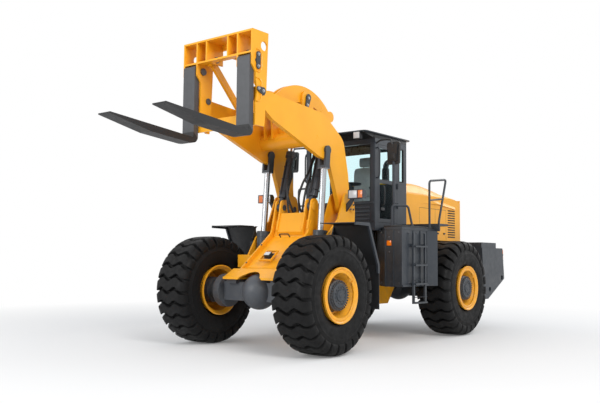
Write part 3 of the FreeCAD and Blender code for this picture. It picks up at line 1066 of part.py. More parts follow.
def build_cab():
    """Welded cab: floor, sills, corner posts and head frame, with panes between."""
    front, rear, half = "cab_front_x", "-cab_rear_x", "cab_half"
    floor = box("CabFloor", (rear, front), (f"-{half}", half),
                ("deck_z - deck_thick", "cab_floor_z"))
    sill = box("CabSillFront", (f"{front} - cab_wall", front), (f"-{half}", half),
               ("cab_floor_z", "cab_floor_z + 320"))
    back = box("CabBack", (rear, f"{rear} + cab_wall"), (f"-{half}", half),
               ("cab_floor_z", "sill_z"))
    head = box("CabHead", (rear, front), (f"-{half}", half), ("cab_top_z - 90", "cab_top_z"))
    head_hole = box("CabHeadHole", (f"{rear} + cab_wall", f"{front} - cab_wall"),
                    (f"-{half} + cab_wall", f"{half} - cab_wall"),
                    ("cab_top_z - 91", "cab_top_z + 1"))
    parts = [floor, sill, back]
    height = ("cab_floor_z", "cab_top_z - 90")
    for side, (low, high) in (("Left", (f"{half} - cab_wall", half)),
                              ("Right", (f"-{half}", f"cab_wall - {half}"))):
        parts.append(box(f"PostFront{side}", (f"{front} - post_wide", front), (low, high), height))
        parts.append(box(f"PostRear{side}", (rear, f"{rear} + post_wide"), (low, high), height))
        parts.append(box(f"PostMiddle{side}", ("-door_rear_x - 60", "-door_rear_x"),
                         (low, high), height))
        parts.append(box(f"PanelRear{side}", (f"{rear} + post_wide", "-door_rear_x - 60"),
                         (low, high), ("cab_floor_z", "sill_z")))
    axis = ("-door_rear_x + side_gap / 2", f"{half} + hinge_knuckle")
    leaf_y = (half, f"{half} + hinge_leaf")
    door_knuckles = []
    for index, level in enumerate(("cab_floor_z + 250", "sill_z - 120")):
        middle = f"{level} + hinge_length / 2"
        top = f"{level} + hinge_length"
        parts.append(cylinder(f"HingeKnuckle{index}", "z", axis, "hinge_knuckle", level, middle))
        parts.append(cylinder(f"DoorPin{index}", "z", axis, "hinge_pin_size", level, top))
        parts.append(box(f"HingeLeaf{index}", (f"{axis[0]} - 45", axis[0]), leaf_y, (level, middle)))
        door_knuckles.append(ring(f"DoorKnuckle{index}", "z", axis, "hinge_pin_size + seat_gap",
                                  "hinge_knuckle", f"{middle} + seat_gap", top))
        door_knuckles.append(box(f"DoorLeaf{index}", (f"{axis[0]} + hinge_pin_size + 3",
                                                      f"{axis[0]} + 45"),
                                 leaf_y, (f"{middle} + seat_gap", top)))
    shell = fuse("CabShell", *parts, cut("CabHeadFrame", head, head_hole))
    node("cab_shell", shell)
    roof = plate("Roof", "xz", [
        ("roof_front_x", "cab_top_z + 20"), ("roof_front_x - 60", "cab_top_z + roof_thick", "30"),
        ("60 - roof_rear_x", "cab_top_z + roof_thick", "30"), ("-roof_rear_x", "cab_top_z"),
        ("roof_front_x - 50", "cab_top_z")], "-roof_half", "roof_half")
    node("cab_roof", roof)
    head_z, low_z = "cab_top_z - 90", "cab_floor_z + 320"
    gap = "seat_gap"
    front_pane = box("PaneFront", (f"{front} - 25", f"{front} - 25 + glass_thick"),
                     (f"cab_wall - {half} + {gap}", f"{half} - cab_wall - {gap}"),
                     (f"{low_z} + {gap}", f"{head_z} - {gap}"))
    rear_pane = box("PaneRear", (f"{rear} + 15", f"{rear} + 15 + glass_thick"),
                    (f"cab_wall - {half} + {gap}", f"{half} - cab_wall - {gap}"),
                    (f"sill_z + {gap}", f"{head_z} - {gap}"))
    side_pane = box("PaneSide", (f"{rear} + post_wide + {gap}", f"-door_rear_x - 60 - {gap}"),
                    (f"{half} - 25", f"{half} - 25 + glass_thick"),
                    (f"sill_z + {gap}", f"{head_z} - {gap}"))
    right_pane = box("PaneRight", (f"-door_rear_x + {gap}", f"{front} - post_wide - {gap}"),
                     (f"25 - glass_thick - {half}", f"25 - {half}"),
                     (f"cab_floor_z + {gap}", f"{head_z} - {gap}"))
    node("cab_glass", front_pane, rear_pane, both_sides("PaneSides", side_pane), right_pane)
    door_x = ("-door_rear_x + side_gap", f"{front} - post_wide - side_gap")
    door_y = (f"{half} - cab_wall", half)
    door_z = ("cab_floor_z + side_gap", f"{head_z} - side_gap")
    slab = box("DoorSlab", door_x, door_y, door_z)
    windows = [box(f"DoorWindow{name}", (f"{door_x[0]} + 50", f"{door_x[1]} - 50"),
                   (f"{door_y[0]} - 1", f"{door_y[1]} + 1"), span)
               for name, span in (("Low", (f"{door_z[0]} + 60", "sill_z - 60")),
                                  ("High", ("sill_z", f"{door_z[1]} - 60")))]
    node("cab_door", fuse("DoorSolid", cut("DoorFrame", slab, *windows), *door_knuckles))
    panes = [box(f"DoorPane{name}", (f"{door_x[0]} + 50.3", f"{door_x[1]} - 50.3"),
                 (f"{half} - 25", f"{half} - 25 + glass_thick"), span)
             for name, span in (("Low", (f"{door_z[0]} + 60.3", "sill_z - 60.3")),
                                ("High", ("sill_z + 0.3", f"{door_z[1]} - 60.3")))]
    node("door_glass", *panes)


def build_cab_inside():
    """Seat on its pedestal, and the steering column with its wheel."""
    base = box("SeatBase", ("-820", "-480"), ("-180", "180"), ("cab_floor_z", "cab_floor_z + 330"))
    cushion = box("SeatCushion", ("-860", "-380"), ("-250", "250"),
                  ("cab_floor_z + 330", "cab_floor_z + 450"))
    backrest = box("SeatBack", ("-900", "-790"), ("-240", "240"),
                   ("cab_floor_z + 450", "cab_floor_z + 1000"))
    headrest = box("SeatHead", ("-890", "-810"), ("-140", "140"),
                   ("cab_floor_z + 1000", "cab_floor_z + 1180"))
    node("driver_seat", fuse("SeatSolid", base, cushion, backrest, headrest))
    column = box("Column", ("-340", "-260"), ("-60", "60"), ("cab_floor_z", "cab_floor_z + 640"))
    wheel = doc.addObject("Part::Torus", "SteeringWheel")
    wheel.setExpression("Radius1", cell("steer_wheel_radius"))
    wheel.setExpression("Radius2", cell("steer_wheel_grip"))
    placed(wheel, "-330", "0", "cab_floor_z + 670")
    boss = cylinder("WheelBoss", "z", ("-310", "0"), "28", "cab_floor_z + 630", "cab_floor_z + 690")
    spoke = box("WheelSpoke", ("-540", "-120"), ("-14", "14"),
                ("cab_floor_z + 662", "cab_floor_z + 678"))
    spoke_keep = cylinder("SpokeKeep", "z", ("-330", "0"), "steer_wheel_radius", "cab_floor_z + 600",
                          "cab_floor_z + 700")
    spokes = common("Spokes", spoke, spoke_keep)
    node("steering_wheel", fuse("SteeringSolid", column, wheel, boss, spokes))
    arm = cylinder("MirrorArm", "y", ("cab_front_x - 40", "cab_top_z - 60"), "14",
                   "cab_half", "cab_half + 150")
    glass = box("MirrorHead", ("cab_front_x - 70", "cab_front_x - 20"),
                ("cab_half + 120", "cab_half + 300"), ("cab_top_z - 420", "cab_top_z - 50"))
    node("mirrors", both_sides("Mirrors", fuse("MirrorSolid", arm, glass)))
    lamp = box("RoofLamp", ("roof_front_x - 140", "roof_front_x - 60"),
               ("cab_half - 220", "cab_half - 90"), ("cab_top_z - 130", "cab_top_z - seat_gap"))
    node("roof_lamps", both_sides("RoofLamps", lamp))


# ---------------------------------------------------------------- the whole machine
def build_all():
    build_tyre_form()
    for place, x, side in (("front_left", "wheel_base / 2", 1), ("front_right", "wheel_base / 2", -1),
                           ("rear_left", "-wheel_base / 2", 1), ("rear_right", "-wheel_base / 2", -1)):
        build_wheel(place, x, side)
    build_axle("front_axle", "wheel_base / 2", 1)
    build_axle("rear_axle", "-wheel_base / 2", -1)
    build_boom()
    build_rocker()
    build_links()
    build_carriage()
    build_forks()
    build_lift_cylinders()
    build_tilt_cylinders()
    build_steering_cylinders()
    build_front_frame()
    build_front_fenders()
    build_head_lamps()
    build_rear_frame()
    build_counterweight()
    build_hood()
    build_drive_line()
    build_platform()
    build_handrails()
    build_cab()
    build_cab_inside()
    doc.recompute()


def check_and_export():
    """Refuse failed features and bad shapes, then write one file for each sub-part."""
    for thing in doc.Objects:
        if {"Invalid", "Error"} & set(thing.State):
            raise RuntimeError(f"{thing.Name} failed: {thing.State}")
    for label, final in NODES.items():
        if final.Shape.isNull() or not final.Shape.isValid():
            raise RuntimeError(f"{label} has no valid shape")
    os.makedirs("parts", exist_ok=True)
    for label, final in NODES.items():
        final.Shape.exportStep(f"parts/{label}.step")
        print(f"{label}: {len(final.Shape.Solids)} solids, {final.Shape.Volume / 1e9:.4f} m3")


build_all()
check_and_export()
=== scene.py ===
"""Finish, light and small parts of an articulated forklift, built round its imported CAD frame."""
import json
import math

import bmesh
import bpy
from mathutils import Matrix, Vector


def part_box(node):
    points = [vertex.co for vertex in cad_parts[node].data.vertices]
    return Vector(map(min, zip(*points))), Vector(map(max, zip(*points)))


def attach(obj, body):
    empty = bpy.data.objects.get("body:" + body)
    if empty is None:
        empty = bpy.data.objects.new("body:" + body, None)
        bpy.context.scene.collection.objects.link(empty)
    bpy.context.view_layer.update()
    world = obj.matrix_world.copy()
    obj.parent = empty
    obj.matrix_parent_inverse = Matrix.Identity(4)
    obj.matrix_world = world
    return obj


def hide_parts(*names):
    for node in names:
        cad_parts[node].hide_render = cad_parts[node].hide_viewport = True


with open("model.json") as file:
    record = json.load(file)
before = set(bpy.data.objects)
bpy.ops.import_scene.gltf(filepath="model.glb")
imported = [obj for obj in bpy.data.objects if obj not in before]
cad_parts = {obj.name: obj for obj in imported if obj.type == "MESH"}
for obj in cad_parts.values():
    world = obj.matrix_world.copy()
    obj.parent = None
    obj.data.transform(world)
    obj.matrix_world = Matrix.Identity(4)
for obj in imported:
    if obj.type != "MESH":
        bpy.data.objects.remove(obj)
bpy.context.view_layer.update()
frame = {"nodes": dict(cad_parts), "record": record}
NODES = frame["nodes"]
UP, LEFT, AHEAD = (0, 0, 1), (0, 1, 0), (1, 0, 0)


def box(name):
    """Lowest and highest corner of a CAD node."""
    return tuple(Vector(corner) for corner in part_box(name))


def joint_place(name):
    """A point on a joint's axis."""
    return Vector(next(joint["pos_m"] for joint in frame["record"]["behaviour"]["joints"]
                       if joint["name"] == name))


def new_object(name, data):
    """Puts an object with this data in the scene."""
    thing = bpy.data.objects.new(name, data)
    bpy.context.collection.objects.link(thing)
    return thing


# --- camera and stage
CAMERA_PLACE = (9.8854, 7.1244, 1.3147)
WORLD_LIGHT = 0.72


def make_camera():
    """A camera at the front left corner, a little over a metre above the floor."""
    yaw, pitch, roll = -2.4656, 0.0749, 0.0093
    ahead = Vector((math.cos(yaw) * math.cos(pitch), math.sin(yaw) * math.cos(pitch),
                    math.sin(pitch)))
    side = ahead.cross(Vector(UP)).normalized()
    up = side.cross(ahead)
    right = math.cos(roll) * side + math.sin(roll) * up
    top = math.cos(roll) * up - math.sin(roll) * side
    data = bpy.data.cameras.new("Camera")
    data.lens = 44.25
    data.sensor_width = 36
    data.clip_end = 200
    camera = new_object("Camera", data)
    turn = Matrix((right, top, -ahead)).transposed().to_4x4()
    camera.matrix_world = Matrix.Translation(CAMERA_PLACE) @ turn
    bpy.context.scene.camera = camera


def add_node(tree, kind, inputs=(), **settings):
    """A shader node; each of its inputs is given a value or another node's output."""
    node = tree.nodes.new("ShaderNode" + kind)
    for name, value in settings.items():
        setattr(node, name, value)
    for key, value in dict(inputs).items():
        if isinstance(value, bpy.types.NodeSocket):
            tree.links.new(value, node.inputs[key])
        else:
            node.inputs[key].default_value = value
    return node


def seen_directly(tree):
    """1 for rays from the camera, and for those that metal or glass reflects or lets through."""
    path = add_node(tree, "LightPath").outputs
    first = add_node(tree, "Math", {0: path["Is Camera Ray"], 1: path["Is Transmission Ray"]},
                     operation="MAXIMUM")
    return add_node(tree, "Math", {0: first.outputs[0], 1: path["Is Glossy Ray"]},
                    operation="MAXIMUM").outputs[0]


def make_world():
    """Even pale light from all round, seen as plain white behind the machine."""
    world = bpy.data.worlds.new("Studio")
    bpy.context.scene.world = world
    world.use_nodes = True
    tree = world.node_tree
    tree.nodes.clear()
    fill = add_node(tree, "Background", {"Color": (0.93, 0.96, 1.0, 1), "Strength": WORLD_LIGHT})
    shown = add_node(tree, "Background", {"Color": (1, 1, 1, 1), "Strength": 1})
    mix = add_node(tree, "MixShader", {0: seen_directly(tree), 1: fill.outputs[0],
                                       2: shown.outputs[0]})
    add_node(tree, "OutputWorld", {0: mix.outputs[0]})


# --- materials
class Shader:
    """A Principled material with short calls for the nodes that feed it."""

    def __init__(self, name, **sockets):
        self.material = bpy.data.materials.new(name)
        self.material.use_nodes = True
        self.tree = self.material.node_tree
        self.surface = self.tree.nodes["Principled BSDF"]
        for socket, value in sockets.items():
            self.surface.inputs[socket.replace("_", " ")].default_value = value
        self.place = self.add("TexCoord").outputs["Object"]

    def add(self, kind, inputs=(), **settings):
        return add_node(self.tree, kind, inputs, **settings)

    def noise(self, scale, detail=4.0, rough=0.55, stretch=None):
        """Soft random values from 0 to 1 at so many bumps a metre."""
        place = self.place
        if stretch:
            place = self.add("Mapping", {"Vector": place, "Scale": stretch}).outputs[0]
        return self.add("TexNoise", {"Vector": place, "Scale": scale, "Detail": detail,
                                     "Roughness": rough}).outputs["Fac"]

    def ramp(self, value, low, high, start, end):
        """Turns a value between low and high into one between start and end."""
        return self.add("MapRange", {0: value, 1: low, 2: high, 3: start, 4: end}).outputs[0]

    def combine(self, operation, first, second):
        """A Math node on two values, each a number or another node's output."""
        return self.add("Math", {0: first, 1: second}, operation=operation).outputs[0]

    def mix(self, amount, first, second):
        """Blends two colours, each a tuple or another node's output."""
        first, second = ((*colour, 1) if isinstance(colour, tuple) else colour
                         for colour in (first, second))
        return self.add("Mix", {0: amount, 6: first, 7: second}, data_type="RGBA").outputs[2]

    def axes(self):
        """The point's x, y and z on the machine, in metres."""
        return self.add("SeparateXYZ", {0: self.place}).outputs

    def from_axis(self, x, z):
        """Distance from an axle line along Y."""
        place = self.axes()
        across = self.combine("SUBTRACT", place["X"], x)
        above = self.combine("SUBTRACT", place["Z"], z)
        square = self.combine("ADD", self.combine("MULTIPLY", across, across),
                              self.combine("MULTIPLY", above, above))
        return self.combine("SQRT", square, 0.0)

    def feed(self, socket, output):
        self.tree.links.new(output, self.surface.inputs[socket])

    def colour(self, output):
        self.feed("Base Color", output)

    def roughness(self, output):
        self.feed("Roughness", output)

    def bump(self, value, depth):
        node = self.add("Bump", {"Strength": 1, "Distance": depth, "Height": value})
        self.feed("Normal", node.outputs[0])


def make_floor():
    """A wide pale floor that keeps the machine's soft shadow."""
    half = 60
    mesh = bpy.data.meshes.new("Floor")
    mesh.from_pydata([(-half, -half, 0), (half, -half, 0), (half, half, 0), (-half, half, 0)],
                     [], [(0, 1, 2, 3)])
    floor = new_object("Floor", mesh)
    shader = Shader("FloorPale", Base_Color=(0.80, 0.80, 0.80, 1), Roughness=0.9,
                    Specular_IOR_Level=0.1)
    length = shader.add("VectorMath", {0: shader.place}, operation="LENGTH")
    near, horizon = 4.6, 10.5
    far = shader.ramp(length.outputs["Value"], near, horizon, 0.12, 1.0)
    amount = shader.combine("MULTIPLY", far, seen_directly(shader.tree))
    white = shader.add("Emission")
    mix = shader.add("MixShader", {0: amount, 1: shader.surface.outputs[0], 2: white.outputs[0]})
    shader.tree.links.new(mix.outputs[0], shader.tree.nodes["Material Output"].inputs["Surface"])
    mesh.materials.append(shader.material)


def area_light(name, place, aim, size, power, colour=(1, 1, 1)):
    data = bpy.data.lights.new(name, "AREA")
    data.shape = "DISK"
    data.size = size
    data.energy = power
    data.color = colour
    lamp = new_object(name, data)
    lamp.location = place
    lamp.rotation_mode = "QUATERNION"
    lamp.rotation_quaternion = (Vector(aim) - Vector(place)).to_track_quat("-Z", "Y")


def make_lights():
    """A high key light on the photo's left, and two weaker ones ahead and behind."""
    area_light("KeyLight", (7, 12, 11), (0, 0, 1.5), 7, 1230, (1.0, 0.98, 0.95))
    area_light("FrontLight", (14, -3, 6), (0, 0, 1.5), 8, 640)
    area_light("RearLight", (-11, 3, 8), (-1, 0, 2), 6, 330)


DUST = (0.17, 0.16, 0.145)
ORANGE = (0.93, 0.41, 0.012)
SLATE = (0.034, 0.041, 0.051)


def darker(colour, share):
    return tuple(channel * share for channel in colour)


def paint(name, colour, rough, dusty=0.35):
    """Sprayed enamel: faint orange peel, uneven gloss, dust low down and in patches."""
    shader = Shader(name, Metallic=0.0, Coat_Weight=0.08, Coat_Roughness=0.2,
                    Specular_IOR_Level=0.35)
    patch = shader.noise(1.7, 6)
    body = shader.mix(shader.ramp(patch, 0.3, 0.7, 0, 1), darker(colour, 0.86), colour)
    low = shader.ramp(shader.axes()["Z"], 0.3, 1.9, dusty, 0.0)
    speck = shader.ramp(shader.noise(9, 8, 0.7), 0.45, 0.75, 0, 1)
    body = shader.mix(shader.combine("MULTIPLY", low, speck), body, DUST)
    shader.colour(body)
    shader.roughness(shader.ramp(shader.noise(5, 6, 0.65), 0.3, 0.75, rough - 0.08, rough + 0.14))
    shader.bump(shader.noise(260, 2), 0.00025)
    return shader.material


def rubber():
    """Tyre rubber, matt and near black, greyer where it is scuffed and dusty."""
    shader = Shader("TyreRubber", Metallic=0.0, Specular_IOR_Level=0.22)
    scuff = shader.ramp(shader.noise(6, 9, 0.7), 0.42, 0.72, 0, 1)
    low = shader.ramp(shader.axes()["Z"], 0.0, 0.5, 0.55, 0.12)
    clean, dusty = (0.0042, 0.0042, 0.0046), (0.017, 0.0165, 0.0155)
    body = shader.mix(shader.combine("MULTIPLY", scuff, low), clean, dusty)
    shader.colour(body)
    shader.roughness(shader.ramp(shader.noise(14, 5), 0.3, 0.7, 0.5, 0.78))
    shader.bump(shader.noise(55, 8, 0.7), 0.002)
    return shader.material


def plain(name, colour, rough, metal=0.0, grain=80, depth=0.0004, **sockets):
    """A base with fine grain, patchy gloss and a little variation of colour."""
    shader = Shader(name, Metallic=metal, **sockets)
    tone = shader.ramp(shader.noise(7, 7, 0.6), 0.3, 0.7, 0, 1)
    shader.colour(shader.mix(tone, darker(colour, 0.78), colour))
    shader.roughness(shader.ramp(shader.noise(23, 5), 0.3, 0.7, rough - 0.07, rough + 0.1))
    shader.bump(shader.noise(grain, 5, 0.6), depth)
    return shader.material


def chrome():
    """Ground and plated rod with faint rings round it."""
    shader = Shader("RodChrome", Metallic=1.0)
    tone = shader.ramp(shader.noise(30, 4, stretch=(1, 1, 6)), 0.3, 0.7, 0, 1)
    shader.colour(shader.mix(tone, (0.34, 0.355, 0.375), (0.50, 0.515, 0.53)))
    shader.roughness(shader.ramp(shader.noise(40, 4, stretch=(1, 1, 8)), 0.3, 0.7, 0.12, 0.24))
    shader.bump(shader.noise(500, 2, stretch=(0.1, 0.1, 1)), 0.00005)
    return shader.material


def pane():
    """Tinted cab glass with a faint film of dust."""
    shader = Shader("CabGlass", Transmission_Weight=1.0, IOR=1.05, Alpha=1.0)
    film = shader.ramp(shader.noise(3, 6, 0.7), 0.35, 0.8, 0.0, 0.12)
    shader.colour(shader.mix(film, (0.84, 0.975, 0.99), (0.88, 0.94, 0.95)))
    shader.roughness(shader.ramp(shader.noise(9, 5), 0.3, 0.8, 0.02, 0.07))
    shader.bump(shader.noise(2.5, 2), 0.0006)
    return shader.material


def two_tone(name, outside, inside, x, z, radius, rough):
    """Wheel paint: one colour on the rim, another on the hub inside a radius."""
    shader = Shader(name, Metallic=0.0, Coat_Weight=0.2, Coat_Roughness=0.2)
    blend = 0.002
    edge = shader.ramp(shader.from_axis(x, z), radius - blend, radius + blend, 0, 1)
    base = shader.mix(edge, inside, outside)
    dirt = shader.ramp(shader.noise(11, 8, 0.7), 0.42, 0.8, 0, 0.55)
    brown = (0.16, 0.11, 0.07)
    shader.colour(shader.mix(dirt, base, brown))
    shader.roughness(shader.ramp(shader.noise(17, 5), 0.3, 0.7, rough - 0.08, rough + 0.15))
    shader.bump(shader.noise(120, 4), 0.0004)
    return shader.material


def lamp_lens(name, colour, painted_glow):
    """Ribbed plastic lens over a bright reflector, with a faint emission as painted glow for the
    light the reflector catches.
    """
    shader = Shader(name, Metallic=0.0, Roughness=0.12, Coat_Weight=1.0)
    ribs = shader.add("TexWave", {"Scale": 60, "Vector": shader.place})
    shader.colour(shader.mix(ribs.outputs["Fac"], darker(colour, 0.75), colour))
    # painted glow: the emission brightens the lens, and the lamp casts no light of its own
    shader.surface.inputs["Emission Color"].default_value = (*colour, 1)
    shader.surface.inputs["Emission Strength"].default_value = painted_glow
    shader.bump(ribs.outputs["Fac"], 0.0008)
    return shader.material


def two_zone(name, first, second, point, axis, limit):
    """One finish up to a plane across an axis through a point, and another past it."""
    shader = Shader(name)
    offset = shader.add("VectorMath", {0: shader.place, 1: point}, operation="SUBTRACT")
    along = shader.add("VectorMath", {0: offset.outputs[0], 1: axis}, operation="DOT_PRODUCT")
    blend = 0.001
    past = shader.ramp(along.outputs["Value"], limit - blend, limit + blend, 0, 1)
    (colour, rough, metal), (colour_2, rough_2, metal_2) = first, second
    tone = shader.noise(12, 6)
    shade = shader.mix(shader.ramp(tone, 0.3, 0.7, 0, 1), darker(colour, 0.85), colour)
    shader.colour(shader.mix(past, shade, colour_2))
    shader.roughness(shader.combine("ADD", shader.ramp(past, 0, 1, rough, rough_2),
                                    shader.ramp(tone, 0.3, 0.7, -0.04, 0.05)))
    shader.feed("Metallic", shader.ramp(past, 0, 1, metal, metal_2))
    shader.bump(shader.noise(150, 3), 0.0002)
    return shader.material


MATERIALS = {
    "orange": paint("OrangePaint", ORANGE, 0.34),
    "slate": paint("SlatePaint", SLATE, 0.42, 0.28),
    "rubber": rubber(),
    "sheet": plain("BlackSheet", (0.018, 0.019, 0.021), 0.5, grain=140),
    "pin": plain("PinSteel", (0.10, 0.105, 0.115), 0.42, 0.7, grain=90),
    "iron": plain("CastIron", (0.06, 0.063, 0.068), 0.6, 0.3, grain=45, depth=0.001),
    "zinc": plain("ZincBolt", (0.40, 0.41, 0.43), 0.3, 0.6, grain=200),
    "chrome": chrome(),
    "glass": pane(),
    "fabric": plain("SeatFabric", (0.42, 0.40, 0.40), 0.85, grain=900, depth=0.0008,
                    Sheen_Weight=0.4),
    "amber": lamp_lens("AmberLens", (0.90, 0.20, 0.010), 0.10),
    "clear": lamp_lens("ClearLens", (0.66, 0.67, 0.68), 0.04),
    "hose": plain("HoseRubber", (0.012, 0.012, 0.013), 0.45, grain=400, depth=0.0005),
    "seal": plain("SealRubber", (0.010, 0.010, 0.011), 0.65, grain=200),
    "visor": plain("SunStrip", (0.05, 0.028, 0.016), 0.3, grain=60),
    "mirror": plain("MirrorFace", (0.75, 0.78, 0.80), 0.10, 1.0, grain=20, depth=0.0001),
    "cylinder": paint("CylinderPaint", (0.042, 0.048, 0.057), 0.33, 0.3),
    "axle": paint("AxlePaint", (0.075, 0.082, 0.094), 0.45, 0.3),
}

FINISH = {
    "orange": ("rear_frame", "engine_hood", "front_frame", "boom", "rocker_arms", "tilt_links",
               "carriage_frame"),
    "slate": ("counterweight", "battery_boxes", "platforms", "side_tanks", "cab_carriers",
              "ladders", "cab_shell", "cab_door", "rear_axle", "head_lamps"),
    "cylinder": ("tilt_barrels", "lift_barrels", "steer_barrel_left", "steer_barrel_right"),
    "sheet": ("front_fenders", "exhaust", "steering_wheel", "radiator"),
    "pin": ("hinge_pins", "tilt_base_pins", "boom_foot_pins", "rocker_pins", "link_pins",
            "carriage_pins", "fork_shafts", "front_shaft"),
    "chrome": ("lift_rods", "tilt_rods", "steer_rod_left", "steer_rod_right"),
    "glass": ("cab_glass", "door_glass"),
    "amber": ("tail_lamps",),
    "fabric": ("driver_seat",),
    "iron": ("engine_block", "gearbox"),
    "axle": ("front_axle",),
}
WHEELS = ("front_left", "front_right", "rear_left", "rear_right")
SLOTS = {"orange": "orange_paint", "slate": "dark_paint", "sheet": "black_sheet",
         "seal": "black_sheet", "hose": "black_sheet", "visor": "black_sheet",
         "rubber": "tyre_rubber", "clear": "lamp_lens", "amber": "lamp_lens",
         "mirror": "rod_chrome", "fabric": "seat_fabric", "pin": "pin_steel",
         "zinc": "pin_steel", "iron": "pin_steel"}
LIFT_FOOT, LIFT_EYE = (1.239, 1.290), (1.118, 2.908)
TILT_FOOT, TILT_EYE = (1.102, 2.074), (0.700, 3.500)


def dress(thing, material):
    """Puts one material on every slot of an object."""
    if not thing.material_slots:
        thing.data.materials.append(material)
    for place in thing.material_slots:
        place.link = "OBJECT"
        place.material = material


def finish_nodes():
    """The CAD nodes' materials."""
    for key, names in FINISH.items():
        for name in names:
            dress(NODES[name], MATERIALS[key])
    for place in WHEELS:
        low, high = box(f"tyre_{place}")
        centre = (low + high) / 2
        hub_edge, rough = 0.225, 0.4
        dress(NODES[f"rim_{place}"], two_tone(f"WheelPaint_{place}", ORANGE, SLATE,
                                              centre.x, centre.z, hub_edge, rough))
    split_forks()
    split_rods()


def split_forks():
    """Forks whose blades are painted blacker than their shanks as painted shade, and are rougher
    and more worn.
    """
    heel_height, bend_height = 0.16, 0.3
    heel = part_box("fork_left")[0][2] + heel_height
    face = max(vert.co.x for vert in NODES["fork_left"].data.vertices
               if vert.co.z > heel + bend_height)
    # the blades' near-black colour is painted shade; their higher roughness stands for wear
    shank, shaded_blade = ((0.080, 0.083, 0.089), 0.40, 0.3), ((0.010, 0.010, 0.011), 0.50, 0.0)
    shade_and_wear = two_zone("ForkShadeAndWear", shank, shaded_blade, (face, 0, heel), (0.707, 0, -0.707), 0.0)
    for name in ("fork_left", "fork_right"):
        dress(NODES[name], shade_and_wear)


def split_rods():
    """Ground rods with painted clevises at their eyes."""
    steel, coat = ((0.42, 0.43, 0.45), 0.22, 1.0), ((0.040, 0.047, 0.056), 0.40, 0.0)
    for name, eye, foot, reach in (("lift_rods", LIFT_EYE, LIFT_FOOT, 0.276),
                                   ("tilt_rods", TILT_EYE, TILT_FOOT, 0.130)):
        axis = Vector((foot[0] - eye[0], 0, foot[1] - eye[1])).normalized()
        dress(NODES[name], two_zone("Rod_" + name, coat, steel, (eye[0], 0, eye[1]), axis, reach))


